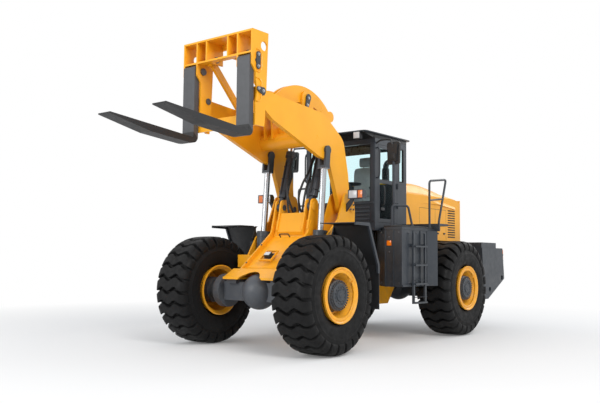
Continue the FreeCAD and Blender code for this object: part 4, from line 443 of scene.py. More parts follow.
# --- mesh building
class Build:
    """Collects small solids into one mesh, then makes it a piece that rides on a body."""

    def __init__(self, name, body, finish):
        self.name, self.body = name, body
        self.material, self.slot = MATERIALS[finish], SLOTS[finish]
        self.mesh = bmesh.new()

    def ring(self, spots):
        return [self.mesh.verts.new(spot) for spot in spots]

    def loft(self, rings, ends=True):
        """Joins loops of vertices in turn, and closes the first and the last."""
        count = len(rings[0])
        for first, second in zip(rings, rings[1:]):
            for index in range(count):
                after = (index + 1) % count
                self.mesh.faces.new((first[index], first[after], second[after], second[index]))
        if ends:
            self.mesh.faces.new(list(reversed(rings[0])))
            self.mesh.faces.new(rings[-1])
        return self

    def block(self, low, high, bevel=0.003, turn=None):
        """A block with eased edges; turn is a matrix applied about its middle."""
        low, high = Vector(low), Vector(high)
        centre, size = (low + high) / 2, high - low
        made = bmesh.ops.create_cube(self.mesh, size=1)["verts"]
        spin = turn.to_4x4() if turn else Matrix.Identity(4)
        bmesh.ops.scale(self.mesh, vec=size, verts=made)
        edges = list({edge for vert in made for edge in vert.link_edges})
        eased = bmesh.ops.bevel(self.mesh, geom=edges, offset=min(bevel, min(size) * 0.4),
                                segments=2, affect="EDGES", profile=0.5)
        made = list({vert for face in eased["faces"] for vert in face.verts}
                    | {vert for vert in made if vert.is_valid})
        bmesh.ops.transform(self.mesh, matrix=Matrix.Translation(centre) @ spin, verts=made)
        return self

    def centred(self, centre, half, bevel, turn=None):
        """A block by its middle and half its size."""
        centre, half = Vector(centre), Vector(half)
        return self.block(centre - half, centre + half, bevel, turn)

    def turned(self, profile, place, axis, steps=24):
        """A solid of revolution: (along, reach) pairs from place along axis."""
        spin = Vector(axis).to_track_quat("Z", "Y")
        angles = [2 * math.pi * index / steps for index in range(steps)]
        return self.loft([self.ring(
            Vector(place) + spin @ Vector((reach * math.cos(angle), reach * math.sin(angle), along))
            for angle in angles) for along, reach in profile])

    def bolt(self, place, axis, across=0.036, high=0.02):
        """A chamfered hexagon head on its washer."""
        radius = across / 2 / math.cos(math.pi / 6)
        self.turned([(0, across * 0.78), (high * 0.16, across * 0.78),
                     (high * 0.22, across * 0.72)], place, axis, 14)
        along = Vector(axis).normalized() * high * 0.2
        self.turned([(0, radius), (high * 0.72, radius), (high * 0.82, radius * 0.86)],
                    Vector(place) + along, axis, 6)
        return self

    def bolts_round(self, place, reach, start, across, high=0.014, count=4, axis=LEFT):
        """Bolts on a circle round a point, in a plane across Y, that face along axis."""
        for index in range(count):
            angle = start + index * 2 * math.pi / count
            self.bolt((place[0] + reach * math.cos(angle), place[1],
                       place[2] + reach * math.sin(angle)), axis, across, high)
        return self

    def tube(self, points, radius, steps=12, smooth=8):
        """A round bar or hose through the points, on a Catmull-Rom curve."""
        path = curve_through(points, smooth)
        rings = []
        normal = None
        for index, spot in enumerate(path):
            before, after = path[max(index - 1, 0)], path[min(index + 1, len(path) - 1)]
            ahead = (after - before).normalized()
            if normal is None:
                normal = ahead.orthogonal().normalized()
            normal = (normal - ahead * normal.dot(ahead)).normalized()
            across = ahead.cross(normal)
            rings.append(self.ring(
                spot + radius * (math.cos(angle) * normal + math.sin(angle) * across)
                for angle in (2 * math.pi * step / steps for step in range(steps))))
        return self.loft(rings)

    def arc(self, loop, place, side, start, sweep, steps=64):
        """A closed loop of (along, radius) pairs swept part of the way round a Y axis."""
        angles = [start + sweep * index / steps for index in range(steps + 1)]
        return self.loft([self.ring(
            (place.x + radius * math.cos(angle), place.y + side * along,
             place.z + radius * math.sin(angle)) for along, radius in loop) for angle in angles])

    def slab(self, corners, low, high, plane="xz"):
        """A plate: its corners in a plane, and its two faces across that plane."""
        return self.loft([self.ring((first, level, second) if plane == "xz" else
                                    (level, first, second) for first, second in corners)
                          for level in (low, high)])

    def both(self):
        """Adds the mirror image across the middle plane."""
        source = self.mesh.copy()
        bmesh.ops.transform(source, matrix=Matrix.Diagonal((1, -1, 1, 1)), verts=source.verts)
        bmesh.ops.reverse_faces(source, faces=source.faces)
        data = bpy.data.meshes.new("Half")
        source.to_mesh(data)
        self.mesh.from_mesh(data)
        source.free()
        bpy.data.meshes.remove(data)
        return self

    def done(self, smooth=True, replaces=()):
        """Makes the object, and says what it rides on and stands for."""
        bmesh.ops.recalc_face_normals(self.mesh, faces=self.mesh.faces)
        data = bpy.data.meshes.new(self.name)
        self.mesh.to_mesh(data)
        self.mesh.free()
        data.materials.append(self.material)
        thing = new_object(self.name, data)
        if smooth:
            data.set_sharp_from_angle(angle=math.radians(35))
            data.shade_smooth()
        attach(thing, self.body)
        if replaces:
            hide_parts(*replaces)
        return thing


def curve_through(points, smooth):
    """Points on a Catmull-Rom curve, so many to a span."""
    points = [Vector(point) for point in points]
    if len(points) < 3 or smooth < 2:
        return points
    path = []
    for index in range(len(points) - 1):
        p0 = points[max(index - 1, 0)]
        p1, p2 = points[index], points[index + 1]
        p3 = points[min(index + 2, len(points) - 1)]
        for step in range(smooth):
            t = step / smooth
            path.append(0.5 * ((2 * p1) + (p2 - p0) * t + (2 * p0 - 5 * p1 + 4 * p2 - p3) * t * t
                               + (3 * p1 - p0 - 3 * p2 + p3) * t ** 3))
    path.append(points[-1])
    return path


def bent(points, radius):
    """The points of straight runs whose corners are rounded."""
    points = [Vector(point) for point in points]
    path = [points[0]]
    for before, corner, after in zip(points, points[1:], points[2:]):
        start = corner + (before - corner).normalized() * radius
        end = corner + (after - corner).normalized() * radius
        path += [start.lerp(corner, step / 5).lerp(corner.lerp(end, step / 5), step / 5)
                 for step in range(6)]
    return path + [points[-1]]


def capsule(first, second, radius, end_radius=None, steps=28):
    """Corners round two circles, as a keeper plate has them."""
    lean = math.atan2(second[1] - first[1], second[0] - first[0])
    corners = []
    for index in range(steps):
        angle = 2 * math.pi * index / steps
        centre, reach = (second, end_radius or radius) if math.cos(angle) >= 0 else (first, radius)
        corners.append((centre[0] + reach * math.cos(angle + lean),
                        centre[1] + reach * math.sin(angle + lean)))
    return corners


# --- wheels
TYRE_RADIUS = 0.808
LUGS = 26
ZIGZAG, ZIGZAG_WIDTH = 0.032, 0.27
HUB_REACH = 0.266


def tyre_section():
    """Loop of (y, groove radius, lug radius) from bead to bead, and back inside."""
    top = TYRE_RADIUS
    half = [(y, top - groove, top - lug) for y, groove, lug in (
        (0.0, 0.054, 0), (0.045, 0.054, 0), (0.09, 0.055, 0.001), (0.13, 0.056, 0.002),
        (0.17, 0.060, 0.004), (0.205, 0.066, 0.008), (0.235, 0.078, 0.015),
        (0.258, 0.096, 0.028), (0.272, 0.118, 0.046))]
    edge = [((0.276, 0.680), (0.287, top - 0.070)), ((0.277, 0.665), (0.2945, top - 0.100)),
            ((0.279, 0.652), (0.2965, top - 0.130)), ((0.2805, 0.645), (0.2960, top - 0.150))]
    side = [(0.2830, 0.640), (0.2885, 0.622), (0.2925, 0.603), (0.2950, 0.592), (0.2962, 0.590),
            (0.2962, 0.584), (0.2952, 0.582), (0.2970, 0.560), (0.2968, 0.530), (0.2940, 0.495),
            (0.2870, 0.455), (0.2755, 0.420), (0.2620, 0.396), (0.2480, 0.380), (0.2320, 0.376),
            (0.2180, 0.400)]
    loop = [((y, groove), (y, lug)) for y, groove, lug in half] + edge
    loop += [(spot, spot) for spot in side]
    inside = ((0.0, 0.620), (0.0, 0.620))
    mirror = [((-a[0], a[1]), (-b[0], b[1])) for a, b in loop[1:]]
    return loop + [inside] + list(reversed(mirror))


def build_tyre(place):
    """A tyre whose broad lugs wind across the tread and end in shoulder blocks."""
    low, high = box(f"tyre_{place}")
    centre = (low + high) / 2
    section = tyre_section()
    # how far along a lug's pitch, and how far up from the groove to the lug
    steps = [(0.00, 0.0), (0.10, 0.0), (0.20, 0.0), (0.235, 0.88), (0.255, 1.0), (0.38, 1.0),
             (0.50, 1.0), (0.63, 1.0), (0.76, 1.0), (0.88, 1.0), (0.945, 1.0), (0.970, 0.88)]
    tyre = Build(f"tyre_tread_{place}", f"wheel_{place}", "rubber")
    rings = []
    for lug in range(LUGS):
        for along, rise in steps:
            spots = []
            for groove, crest in section:
                y = groove[0] + (crest[0] - groove[0]) * rise
                radius = groove[1] + (crest[1] - groove[1]) * rise
                wave = ZIGZAG * math.cos(2 * math.pi * min(abs(y), ZIGZAG_WIDTH) / ZIGZAG_WIDTH)
                angle = (lug + along - 0.6) * 2 * math.pi / LUGS + wave / TYRE_RADIUS
                spots.append((centre.x + radius * math.sin(angle), centre.y + y,
                              centre.z + radius * math.cos(angle)))
            rings.append(tyre.ring(spots))
    tyre.loft(rings + rings[:1], ends=False)
    tyre.done(replaces=(f"tyre_{place}",))


def build_wheel_trim(place, side):
    """Hub bolts, the dished cap and the stepped lock ring with its gap."""
    low, high = box(f"rim_{place}")
    centre = (low + high) / 2
    body, out = f"wheel_{place}", Vector((0, side, 0))
    face = Vector((centre.x, centre.y + side * HUB_REACH, centre.z))
    bolts = Build(f"hub_bolts_{place}", body, "iron")
    bolts.bolts_round(face, 0.188, 0, 0.017, 0.012, 32, out)
    bolts.bolts_round(face, 0.105, math.pi / 12, 0.019, 0.012, 12, out)
    bolts.done()
    cap = Build(f"hub_cap_{place}", body, "slate")
    cap.turned([(0, 0.165), (0.010, 0.165), (0.014, 0.160), (0.014, 0.130), (0.006, 0.126),
                (0.006, 0.080), (0.018, 0.074), (0.018, 0.032), (0.023, 0.028), (0.023, 0.012)],
               face, out, 48)
    cap.done()
    ring = Build(f"lock_ring_{place}", body, "orange")
    ring.arc([(0.250, 0.326), (0.262, 0.303), (0.284, 0.298), (0.290, 0.303), (0.293, 0.333),
              (0.288, 0.341), (0.272, 0.345)], centre, side, math.radians(146), math.radians(350))
    ring.done()


def build_wheels():
    for place in WHEELS:
        build_tyre(place)
        build_wheel_trim(place, 1 if place.endswith("left") else -1)


# --- front frame and linkage
SLOPE_TOP = Vector((1.274, 0, 1.674))
SLOPE_LEAN = math.atan2(0.538, 0.66)


def build_front_fittings():
    """Round keeper plates and bolts on the front frame."""
    boom_foot = joint_place("boom_lift")
    pivots = (((boom_foot.x, boom_foot.z), 0.075, 0.050), (LIFT_FOOT, 0.085, 0.058))
    keepers = Build("front_keepers", "front_body", "orange")
    for (x, z), wide, _ in pivots:
        keepers.turned([(0, wide), (0.012, wide), (0.015, wide - 0.004)], (x, 0.697, z), LEFT, 32)
    for y in (0.263, 0.363):
        keepers.turned([(0, 0.073), (0.008, 0.073), (0.010, 0.070)],
                       (TILT_FOOT[0], y, TILT_FOOT[1]), LEFT, 32)
    keepers.both().done()
    bolts = Build("front_bolts", "front_body", "pin")
    for (x, z), _, reach in pivots:
        bolts.bolts_round((x, 0.7115, z), reach, math.pi / 4, 0.022)
    bolts.both()
    fall = 0.815
    for x in (1.50, 1.83):
        z = SLOPE_TOP.z - (x - SLOPE_TOP.x) * fall
        for y in (-0.34, 0.34):
            bolts.bolt((x + 0.002, y, z), (0.632, 0, 0.775), 0.018, 0.01)
    bolts.done()


def build_slope_fittings():
    """Lifting handle and sunk work lamp on the front frame's slope."""
    along = Vector((math.cos(SLOPE_LEAN), 0, -math.sin(SLOPE_LEAN)))
    out = Vector((math.sin(SLOPE_LEAN), 0, math.cos(SLOPE_LEAN)))
    tilt = Matrix((along, LEFT, out)).transposed()

    def spot(distance, y, rise=0.0):
        return SLOPE_TOP + along * distance + out * rise + Vector((0, y, 0))

    half, legs = 0.088, 0.090
    handle = Build("slope_handle", "front_body", "sheet")
    handle.tube([spot(0.10, -legs, -0.004), spot(0.10, -half, 0.045), spot(0.10, -0.06, 0.055),
                 spot(0.10, 0.06, 0.055), spot(0.10, half, 0.045), spot(0.10, legs, -0.004)],
                0.009, 10, 6)
    handle.done()
    edge = Build("work_lamp_frame", "front_body", "orange")
    for y in (-0.108, 0.108):
        edge.centred(spot(0.565, y, 0.012), (0.108, 0.007, 0.016), 0.003, tilt)
    for distance in (0.457, 0.673):
        edge.centred(spot(distance, 0, 0.012), (0.007, 0.115, 0.016), 0.003, tilt)
    edge.done()
    housing_and_shade = Build("work_lamp_housing_and_shade", "front_body", "sheet")
    # thin black plate in the lamp's recess: painted shade; the block above it is the lamp's housing
    housing_and_shade.centred(spot(0.560, 0, 0.003), (0.060, 0.075, 0.002), 0.001, tilt)
    housing_and_shade.centred(spot(0.570, 0, 0.030), (0.042, 0.058, 0.028), 0.012, tilt)
    housing_and_shade.done()
    lamp = Build("work_lamp_lens", "front_body", "clear")
    lamp.centred(spot(0.570, 0, 0.059), (0.034, 0.049, 0.004), 0.003, tilt)
    lamp.done()


def build_boom_fittings():
    """Keeper plates and bolts of the boom's tip pins and the rocker's pivot."""
    tip, rocker = joint_place("fork_level"), joint_place("rocker_level")
    plate = Build("boom_keepers", "boom", "orange")
    plate.turned([(0, 0.088), (0.008, 0.088), (0.011, 0.084)], (tip.x, 0.602, tip.z), LEFT, 36)
    plate.both().done()
    studs = Build("boom_keepers_bolts", "boom", "pin")
    studs.bolts_round((tip.x, 0.613, tip.z), 0.062, 0.5, 0.024).both().done()
    keeper = Build("rocker_keepers", "boom", "slate")
    keeper.slab(capsule((rocker.x - 0.006, rocker.z + 0.012),
                        (rocker.x + 0.030, rocker.z - 0.118), 0.052, 0.036), 0.398, 0.412)
    keeper.both().done()
    studs = Build("rocker_keeper_bolts", "boom", "zinc")
    for x, z in ((rocker.x, rocker.z), (rocker.x + 0.028, rocker.z - 0.108)):
        studs.bolt((x, 0.412, z), LEFT, 0.030, 0.014)
    studs.both().done()


def build_carriage_fittings():
    """Keepers, bolts and slot-shaped rims on the outsides of the carriage."""
    x, face = 2.752, 0.6605
    upper, lower = (3.829, 3.988), (3.440, 3.600)
    boss = Build("carriage_bosses", "carriage", "orange")
    boss.slab(capsule((x, upper[0]), (x, upper[1]), 0.048), face, 0.668)
    for (low_end, high_end), reach in ((upper, 0.070), (lower, 0.078)):
        angles = [math.pi * (0.38 + step / 20) for step in range(26)]
        boss.tube([(x + reach * math.cos(angle), 0.664,
                    (high_end if angle < math.pi else low_end) + reach * math.sin(angle))
                   for angle in angles], 0.011, 8, 1)
    boss.both().done()
    keeper = Build("carriage_keepers", "carriage", "slate")
    keeper.slab(capsule((x, upper[0]), (x, upper[1]), 0.040), 0.668, 0.680)
    keeper.slab(capsule((2.655, 3.512), (2.742, 3.530), 0.052, 0.030), 0.670, 0.682)
    keeper.both().done()
    studs = Build("carriage_bolts", "carriage", "zinc")
    for spot in ((x, 0.680, upper[1]), (x, 0.680, upper[0]), (2.742, 0.682, 3.530),
                 (2.650, 0.682, 3.512)):
        studs.bolt(spot, LEFT, 0.030, 0.014)
    studs.both().done()


def build_hoses():
    """Pairs of hydraulic hoses beside the tilt cylinders, and the pipes along them."""
    hose = Build("tilt_hoses", "tilt_barrels", "hose")
    for shift, rise in ((0.0, 0.0), (0.055, -0.06)):
        hose.tube([(1.045, 0.085 + shift, 1.965), (1.105, 0.080 + shift, 2.06 + rise),
                   (1.165 - shift, 0.105 + shift, 2.22 + rise),
                   (1.135 - shift, 0.150 + shift * 0.6, 2.42 + rise),
                   (1.045 - shift, 0.190, 2.60 + rise), (0.985, 0.205, 2.76 + rise),
                   (0.930, 0.215, 2.90 + rise)], 0.017, 12, 8)
    hose.both().done()
    rings = Build("hose_fittings", "tilt_barrels", "pin")
    for rise in (0.0, -0.06):
        rings.turned([(0, 0.020), (0.045, 0.020), (0.048, 0.017)], (0.945, 0.213, 2.865 + rise),
                     (-0.35, 0.05, 0.93), 12)
    rings.both().done()
    pipes = Build("barrel_pipes", "tilt_barrels", "hose")
    y = 0.297
    base, tip = Vector((TILT_FOOT[0], y, TILT_FOOT[1])), Vector((TILT_EYE[0], y, TILT_EYE[1]))
    ahead = (tip - base).normalized()
    side = Vector((ahead.z, 0, -ahead.x))
    pipes.tube([base + ahead * distance + side * gap for distance, gap in (
        (0.20, 0.086), (0.50, 0.086), (0.72, 0.086), (0.75, 0.070))], 0.013, 10, 5)
    for distance in (0.26, 0.47, 0.68):
        centre = base + ahead * distance
        pipes.tube([centre + 0.0755 * (math.cos(angle) * side + math.sin(angle) * Vector(LEFT))
                    for angle in (math.pi * step / 12 for step in range(25))], 0.006, 8, 1)
    pipes.both().done()


# --- lamps, tanks and deck
DECK = 1.800
TANK_FRONT, TANK_SIDE, TANK_LOW, TANK_HIGH = 0.135, 1.301, 0.93, 1.70


def build_lamps():
    """Head lamps' lenses, roof lamps, and the bars between the tail lamps."""
    low, high = box("head_lamps")
    face, bottom, top = high.x - 0.008, high.z - 0.124, high.z - 0.010
    for name, finish, inner, outer in (("head_lamp_lens", "clear", 0.782, 0.930),
                                       ("turn_lamp_lens", "amber", 0.946, 1.028)):
        lens = Build(name, "front_body", finish)
        lens.block((face - 0.004, inner, bottom), (face + 0.005, outer, top), 0.004)
        lens.both().done()
    shell = Build("roof_lamp_shells", "rear_body", "sheet")
    shell.block((0.198, 0.490, 3.190), (0.278, 0.622, 3.312), 0.014)
    shell.both().done(replaces=("roof_lamps",))
    glass = Build("roof_lamp_lens", "rear_body", "clear")
    glass.block((0.277, 0.500, 3.202), (0.285, 0.612, 3.302), 0.004)
    glass.both().done()
    bars = Build("tail_lamp_bars", "rear_body", "slate")
    low, high = box("tail_lamps")
    for z in (1.390, 1.280):
        bars.block((low.x - 0.002, high.y - 0.150, z - 0.016),
                   (low.x + 0.066, high.y + 0.003, z + 0.016), 0.003)
    bars.both().done()


def build_tank_trim():
    """Reflector, bolts and ribs of the side tanks, and the fenders' lips, painted pale as a painted
    highlight along their edges.
    """
    # the amber lens material's emission makes these reflectors glow: painted glint, as they are no
    # lamps
    signs = Build("side_reflectors", "rear_body", "amber")
    signs.block((0.133, 1.035, 1.500), (0.143, 1.115, 1.578), 0.003)
    signs.both().done()
    bolts = Build("tank_bolts", "rear_body", "pin")
    for z in (1.633, 1.402):
        bolts.bolt((TANK_FRONT, 1.075, z), AHEAD, 0.020, 0.012)
    for z in (TANK_LOW, TANK_HIGH):
        for y in (0.93, 1.25):
            bolts.bolt((TANK_FRONT, y, z), AHEAD, 0.016, 0.010)
    for x in (-0.06, -0.30, -0.54, -0.78):
        for z in (TANK_LOW, TANK_HIGH):
            bolts.bolt((x, TANK_SIDE, z), LEFT, 0.016, 0.010)
    bolts.both().done()
    ribs = Build("tank_ribs", "rear_body", "slate")
    half, foot, head = 0.008, 0.885, 1.740
    for y in (1.005, 1.146):
        ribs.block((0.130, y - half, foot), (0.147, y + half, head), 0.003)
    for x in (-0.20, -0.42, -0.64):
        ribs.block((x - half, 1.298, foot), (x + half, 1.312, head), 0.003)
    ribs.block((-0.855, 1.298, 0.872), (0.130, 1.318, 0.900), 0.004)
    ribs.both().done()
    # lighter slate on the black fender's edge: a painted highlight
    highlight_lip = Build("fender_lip_highlights", "front_body", "slate")
    highlight_lip.slab([(1.515, 1.803), (1.180, 1.803), (0.918, 1.213), (0.918, 1.090), (0.958, 1.090),
              (0.960, 1.204), (1.203, 1.758), (1.515, 1.764)], 1.372, 1.404)
    highlight_lip.both().done()


def build_deck_trim():
    """Step treads and deck edges."""
    tread = Build("step_treads", "rear_body", "slate")
    lowest, rise, rear, pitch = 0.70, 0.26, -0.475, 0.042
    for step in range(4):
        z = lowest + step * rise
        for rib in range(9):
            x = rear + rib * pitch
            tread.block((x, 1.352, z + 0.006), (x + 0.018, 1.395, z + 0.014), 0.002)
    tread.both().done()
    strip = Build("deck_edges", "rear_body", "sheet")
    strip.block((-0.86, 1.302, DECK - 0.008), (0.150, 1.318, DECK + 0.012), 0.004)
    strip.block((0.136, 0.99, DECK - 0.008), (0.152, 1.31, DECK + 0.012), 0.004)
    strip.both().done()


def build_rails():
    """Round bar handrails with bent corners: a low loop at the step, a tall one behind it."""
    rail = Build("handrail_loops", "rear_body", "slate")
    bar, mid_bar = 0.018, 0.014
    foot, back = Vector((0.050, 1.070, DECK)), Vector((-0.200, 1.290, DECK))
    up, lean = Vector((0, 0, 0.330)), (back - foot).normalized() * 0.070
    rail.tube(bent([foot, foot + up, back + up - lean, back], 0.055), bar, 12, 1)
    for place in (foot, back):
        rail.turned([(0, 0.036), (0.008, 0.036), (0.012, 0.026), (0.020, 0.022)], place, UP, 18)
    y = 1.350
    rail.tube(bent([(-0.640, y, DECK), (-0.640, y, 2.555), (-1.205, y, 2.622),
                    (-0.950, y, 1.900), (-0.950, y, DECK)], 0.060), bar, 12, 1)
    rail.tube([(-0.640, y, 2.240), (-1.075, y, 2.290)], mid_bar, 10, 1)
    rail.both().done(replaces=("handrails",))


# --- cab
CAB_HALF = 0.700


def build_cab_front():
    """Ribbed front panel, window seals, wiper and sun strip."""
    front = box("cab_shell")[1].x
    back = front - 0.004
    ribs = Build("cab_front_ribs", "rear_body", "slate")
    for index in range(4):
        z = 1.915 + index * 0.062
        ribs.block((back, -0.60, z), (front + 0.016, 0.60, z + 0.026), 0.006)
    ribs.block((back, -0.69, 2.175), (front + 0.030, 0.69, 2.205), 0.006)
    for y in (-0.655, 0.655):
        ribs.block((back, y - 0.04, 1.885), (front + 0.014, y + 0.04, 3.16), 0.012)
    ribs.done()
    seal = Build("cab_seals", "rear_body", "seal")
    half, wide = 0.612, 0.008
    for y in (-half, half):
        seal.block((front - 0.012, y - wide, 2.205), (front + 0.004, y + wide, 3.140), 0.003)
    for z in (2.212, 3.135):
        seal.block((front - 0.012, -half, z - wide), (front + 0.004, half, z + wide), 0.003)
    sill, head, wide = 2.590, 3.140, 0.007
    for right, left in ((CAB_HALF - 0.020, CAB_HALF + 0.003),
                        (-CAB_HALF - 0.003, -CAB_HALF + 0.020)):
        for x in (-0.925, -0.785):
            seal.block((x - wide, right, sill), (x + wide, left, head), 0.003)
        for z in (sill, head):
            seal.block((-0.930, right, z - wide), (-0.780, left, z + wide), 0.003)
    seal.done()
    wiper = Build("front_wiper", "rear_body", "sheet")
    wiper.tube([(front + 0.020, 0.10, 2.190), (front + 0.028, 0.02, 2.50),
                (front + 0.024, -0.06, 2.78)], 0.007, 8, 4)
    wiper.tube([(front + 0.014, -0.035, 2.42), (front + 0.014, -0.075, 3.02)], 0.008, 8, 2)
    wiper.block((front - 0.002, 0.06, 2.165), (front + 0.034, 0.14, 2.215), 0.010)
    wiper.done()
    visor = Build("sun_visor", "rear_body", "visor")
    visor.block((front - 0.034, -0.590, 2.985), (front - 0.029, 0.590, 3.135), 0.002)
    visor.done()


def build_mirrors():
    """Mirrors on posts that stand on the deck, with a stay from the roof."""
    x, y = -0.060, 1.037
    post = Build("mirror_posts", "rear_body", "slate")
    post.tube([(x, y, DECK), (x, y, 2.40), (x, y, 2.860)], 0.024, 14, 3)
    post.turned([(0, 0.050), (0.010, 0.050), (0.014, 0.038), (0.030, 0.034)], (x, y, DECK), UP, 20)
    post.both().done()
    mirror = Build("mirror_heads", "rear_body", "sheet")
    mirror.slab([(0.912, 3.118), (0.934, 3.142), (1.124, 3.142), (1.146, 3.118), (1.136, 2.812),
                 (1.114, 2.786), (0.944, 2.786), (0.922, 2.812)], -0.098, -0.060, "yz")
    mirror.slab([(0.938, 3.104), (1.120, 3.104), (1.094, 2.836), (0.964, 2.836)],
                -0.062, -0.030, "yz")
    mirror.block((-0.040, 0.984, 2.862), (-0.016, 1.082, 2.950), 0.009)
    mirror.tube(bent([(-0.085, 0.690, 3.150), (-0.085, 0.760, 3.196), (-0.050, 0.990, 3.198),
                      (-0.040, 1.032, 3.060)], 0.040), 0.014, 10, 1)
    mirror.both().done(replaces=("mirrors",))
    glass = Build("mirror_glass", "rear_body", "mirror")
    glass.slab([(0.934, 3.120), (1.124, 3.120), (1.114, 2.808), (0.944, 2.808)],
               -0.102, -0.0975, "yz")
    glass.both().done()


def build_cab_grips():
    """Door handle, and grab rails on the front posts."""
    grip = Build("door_grips", "door", "sheet")
    x, wall = -0.245, 0.694
    grip.tube([(x, wall, 2.16), (x, 0.745, 2.18), (x, 0.752, 2.32), (x, 0.745, 2.46),
               (x, wall, 2.48)], 0.011, 10, 6)
    grip.block((-0.300, 0.698, 2.075), (-0.190, 0.722, 2.125), 0.008)
    grip.done()
    rails = Build("cab_grab_rails", "rear_body", "slate")
    x, wall = -0.085, 0.690
    rails.tube([(x, wall, 2.60), (x, 0.752, 2.62), (x, 0.760, 2.85), (x, 0.752, 3.06),
                (x, wall, 3.08)], 0.013, 10, 6)
    rails.both().done()


def build_roof():
    """A crowned roof sheet with a thin turned edge over the cab's deep fascia."""
    skin = Build("roof_skin", "rear_body", "slate")
    corner, half_turn = 0.070, math.pi / 2
    rings = []
    for rear, front, half, z in (
            (-1.118, 0.280, 0.728, 3.304), (-1.125, 0.286, 0.735, 3.309),
            (-1.125, 0.286, 0.735, 3.322), (-1.112, 0.274, 0.722, 3.328),
            (-0.98, -0.180, 0.570, 3.356), (-0.76, -0.42, 0.300, 3.366)):
        spots = []
        for quarter, (x, y) in enumerate(((front, half), (rear, half), (rear, -half),
                                          (front, -half))):
            inner = Vector((x - math.copysign(corner, x - (rear + front) / 2),
                            y - math.copysign(corner, y), z))
            for step in range(5):
                angle = half_turn * (quarter + step / 4)
                spots.append(inner + corner * Vector((math.cos(angle), math.sin(angle), 0)))
        rings.append(skin.ring(spots))
    skin.loft(rings)
    skin.done(replaces=("cab_roof",))
    fascia = Build("roof_fascia", "rear_body", "sheet")
    fascia.block((-1.030, -CAB_HALF, 3.236), (-0.020, CAB_HALF, 3.310), 0.012)
    fascia.slab([(-0.040, 3.236), (0.150, 3.270), (0.258, 3.298), (0.258, 3.308),
                 (-0.040, 3.308)], -0.690, 0.690)
    fascia.done()


def swell(name, u, v, w, crown):
    """How far a pad's face stands proud, and along which axis; u, v and w run from -1 to 1."""
    def channel(place):
        return math.exp(-((abs(v) - place) / 0.06) ** 2)
    if name == "seat_cushion" and w > 0.98:
        return 2, ((1 - u * u) * (1 - v * v) - 0.35 - 0.25 * channel(0.55)) * crown
    if name != "seat_cushion" and u > 0.98:
        groove = 0.3 * channel(0.58) if name == "seat_back" else 0
        return 0, ((1 - w * w) * (1 - v * v) - 0.4 - groove) * crown
    return 0, 0.0


def build_seat():
    """Sprung driver's seat in woven cloth: crowned base, bolstered back and head pad."""
    for name, low, high, crown in (
            ("seat_cushion", (-0.855, -0.250, 2.205), (-0.385, 0.250, 2.335), 0.030),
            ("seat_back", (-0.895, -0.240, 2.335), (-0.790, 0.240, 2.880), 0.026),
            ("seat_head", (-0.888, -0.135, 2.890), (-0.812, 0.135, 3.055), 0.018)):
        low, high = Vector(low), Vector(high)
        centre, size = (low + high) / 2, high - low
        pad = Build(name, "rear_body", "fabric")
        bmesh.ops.create_cube(pad.mesh, size=1)
        bmesh.ops.subdivide_edges(pad.mesh, edges=pad.mesh.edges[:], cuts=11, use_grid_fill=True)
        for vert in pad.mesh.verts:
            u, v, w = (2 * axis for axis in vert.co)
            corners = u ** 4 * v ** 4 + v ** 4 * w ** 4 + u ** 4 * w ** 4
            vert.co = Vector((u, v, w)) * 0.5 * (1 - 0.07 * corners)
            axis, proud = swell(name, u, v, w, crown)
            vert.co[axis] += proud / size[axis]
        bmesh.ops.scale(pad.mesh, vec=size, verts=pad.mesh.verts)
        bmesh.ops.translate(pad.mesh, vec=centre, verts=pad.mesh.verts)
        thing = pad.done(replaces=("driver_seat",) if name == "seat_cushion" else ())
    stand = Build("seat_stand", "rear_body", "sheet")
    stand.block((-0.800, -0.170, 1.880), (-0.480, 0.170, 1.930), 0.010)
    for index in range(5):
        z, inset = 1.935 + index * 0.052, 0.006 * (index % 2)
        stand.block((-0.790 + inset, -0.165, z), (-0.490 - inset, 0.165, z + 0.046), 0.018)
    for inner in (-0.075, 0.055):
        stand.block((-0.870, inner, 2.870), (-0.850, inner + 0.020, 2.900), 0.004)
    for side in (-1, 1):
        arm, bracket = side * 0.285, side * 0.268
        stand.block((-0.780, arm - 0.022, 2.470), (-0.520, arm + 0.022, 2.510), 0.014)
        stand.block((-0.840, bracket - 0.014, 2.330), (-0.780, bracket + 0.014, 2.500), 0.008)
    stand.done()


# --- hood
HOOD_HALF = 0.610


def build_louvre_gap_shade():
    """Dark strips behind the hood's louvres: painted shade in the gaps between the slats."""
    back = Build("louvre_gap_shade", "rear_body", "seal")
    lowest, pitch, count = 1.700, 0.045, 12
    for index in range(count):
        z = lowest + index * pitch
        back.block((-2.988, HOOD_HALF - 0.0085, z + 0.001),
                   (-2.692, HOOD_HALF - 0.0045, z + 0.023), 0.0005)
    back.both().done()


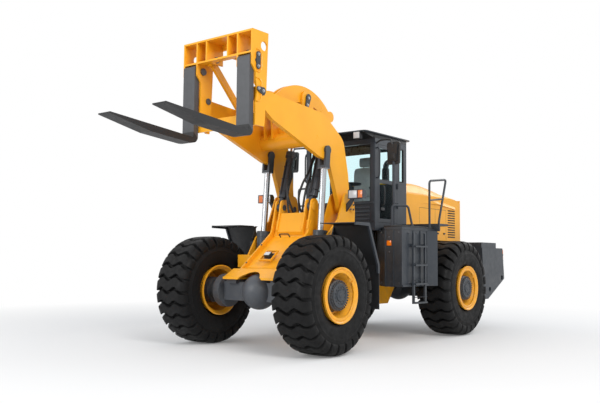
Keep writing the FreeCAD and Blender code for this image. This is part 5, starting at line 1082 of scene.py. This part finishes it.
def build_hood_shape():
    """The swell over the hood's top, and the raised facet on each side."""
    crown = Build("hood_crown", "rear_body", "orange")
    rings = []
    for x, top, brow in (
            (-1.078, 2.600, 2.446), (-1.092, 2.612, 2.450), (-1.30, 2.628, 2.452),
            (-1.60, 2.634, 2.452), (-1.85, 2.618, 2.450), (-2.10, 2.590, 2.446),
            (-2.35, 2.556, 2.440), (-2.60, 2.518, 2.424), (-2.85, 2.478, 2.396),
            (-3.02, 2.446, 2.372)):
        half = ((0.608, brow), (0.560, brow + (top - brow) * 0.50), (0.512, top - 0.020),
                (0.480, top - 0.004), (0.300, top + 0.004), (0.0, top + 0.008))
        spots = [(x, y, z) for y, z in half] + [(x, -y, z) for y, z in reversed(half[:-1])]
        spots += [(x, -0.590, brow - 0.03), (x, 0.590, brow - 0.03)]
        rings.append(crown.ring(spots))
    crown.loft(rings).done()
    facet = Build("hood_facets", "rear_body", "orange")
    outline = [(-1.700, 2.292), (-2.010, 2.395), (-2.980, 2.290), (-2.980, 2.235),
               (-2.360, 2.292)]
    ridge = [(-1.760, 0.613, 2.294), (-2.020, 0.614, 2.372), (-2.960, 0.616, 2.278),
             (-2.960, 0.632, 2.244), (-2.340, 0.632, 2.300)]
    rings = [facet.ring((x, y, z) for x, z in outline) for y in (0.600, 0.6105)]
    facet.loft(rings + [facet.ring(ridge)]).both().done(smooth=False)


def build_hood_trim():
    """Panel seams, latches, the rear grille and the exhaust's bend."""
    half = HOOD_HALF
    seams = Build("hood_seams", "rear_body", "seal")
    wide, deep, proud = 0.003, 0.003, 0.0006
    for x in (-1.62, -2.20, -2.62):
        seams.block((x - wide, half - deep, 1.660), (x + wide, half + proud, 2.210), 0.0005)
    seams.block((-2.62, half - deep, 2.207), (-1.62, half + proud, 2.213), 0.0005)
    seams.both().done()
    latch = Build("hood_latches", "rear_body", "sheet")
    for x in (-1.72, -2.10, -2.30, -2.54):
        latch.block((x - 0.030, half - 0.002, 1.755), (x + 0.030, half + 0.014, 1.785), 0.005)
    latch.both().done()
    rear = box("engine_hood")[0].x
    grille = Build("rear_grille", "rear_body", "seal")
    grille.block((rear - 0.004, -0.46, 1.72), (rear + 0.004, 0.46, 2.20), 0.003)
    for index in range(15):
        z = 1.735 + index * 0.031
        grille.block((rear - 0.014, -0.45, z), (rear - 0.003, 0.45, z + 0.012), 0.003)
    for y in (-0.225, 0.0, 0.225):
        grille.block((rear - 0.018, y - 0.008, 1.72), (rear - 0.003, y + 0.008, 2.20), 0.003)
    grille.done()
    low, high = box("exhaust")
    x, y = (low.x + high.x) / 2, (low.y + high.y) / 2
    pipe = Build("exhaust_top", "rear_body", "sheet")
    pipe.turned([(0, 0.078), (0.03, 0.078), (0.04, 0.066), (0.25, 0.066), (0.28, 0.060)],
                (x, y, low.z + 0.066), UP, 32)
    pipe.tube([(x, y, high.z - 0.02), (x - 0.01, y, high.z + 0.06), (x - 0.06, y, high.z + 0.12),
               (x - 0.13, y, high.z + 0.145)], 0.050, 20, 6)
    pipe.done()


make_camera()
make_world()
make_floor()
make_lights()
finish_nodes()
build_wheels()
build_front_fittings()
build_slope_fittings()
build_boom_fittings()
build_carriage_fittings()
build_hoses()
build_lamps()
build_tank_trim()
build_cab_front()
build_mirrors()
build_cab_grips()
build_roof()
build_rails()
build_seat()
build_louvre_gap_shade()
build_hood_shape()
build_hood_trim()
build_deck_trim()
bpy.context.scene.view_settings.view_transform = "Standard"
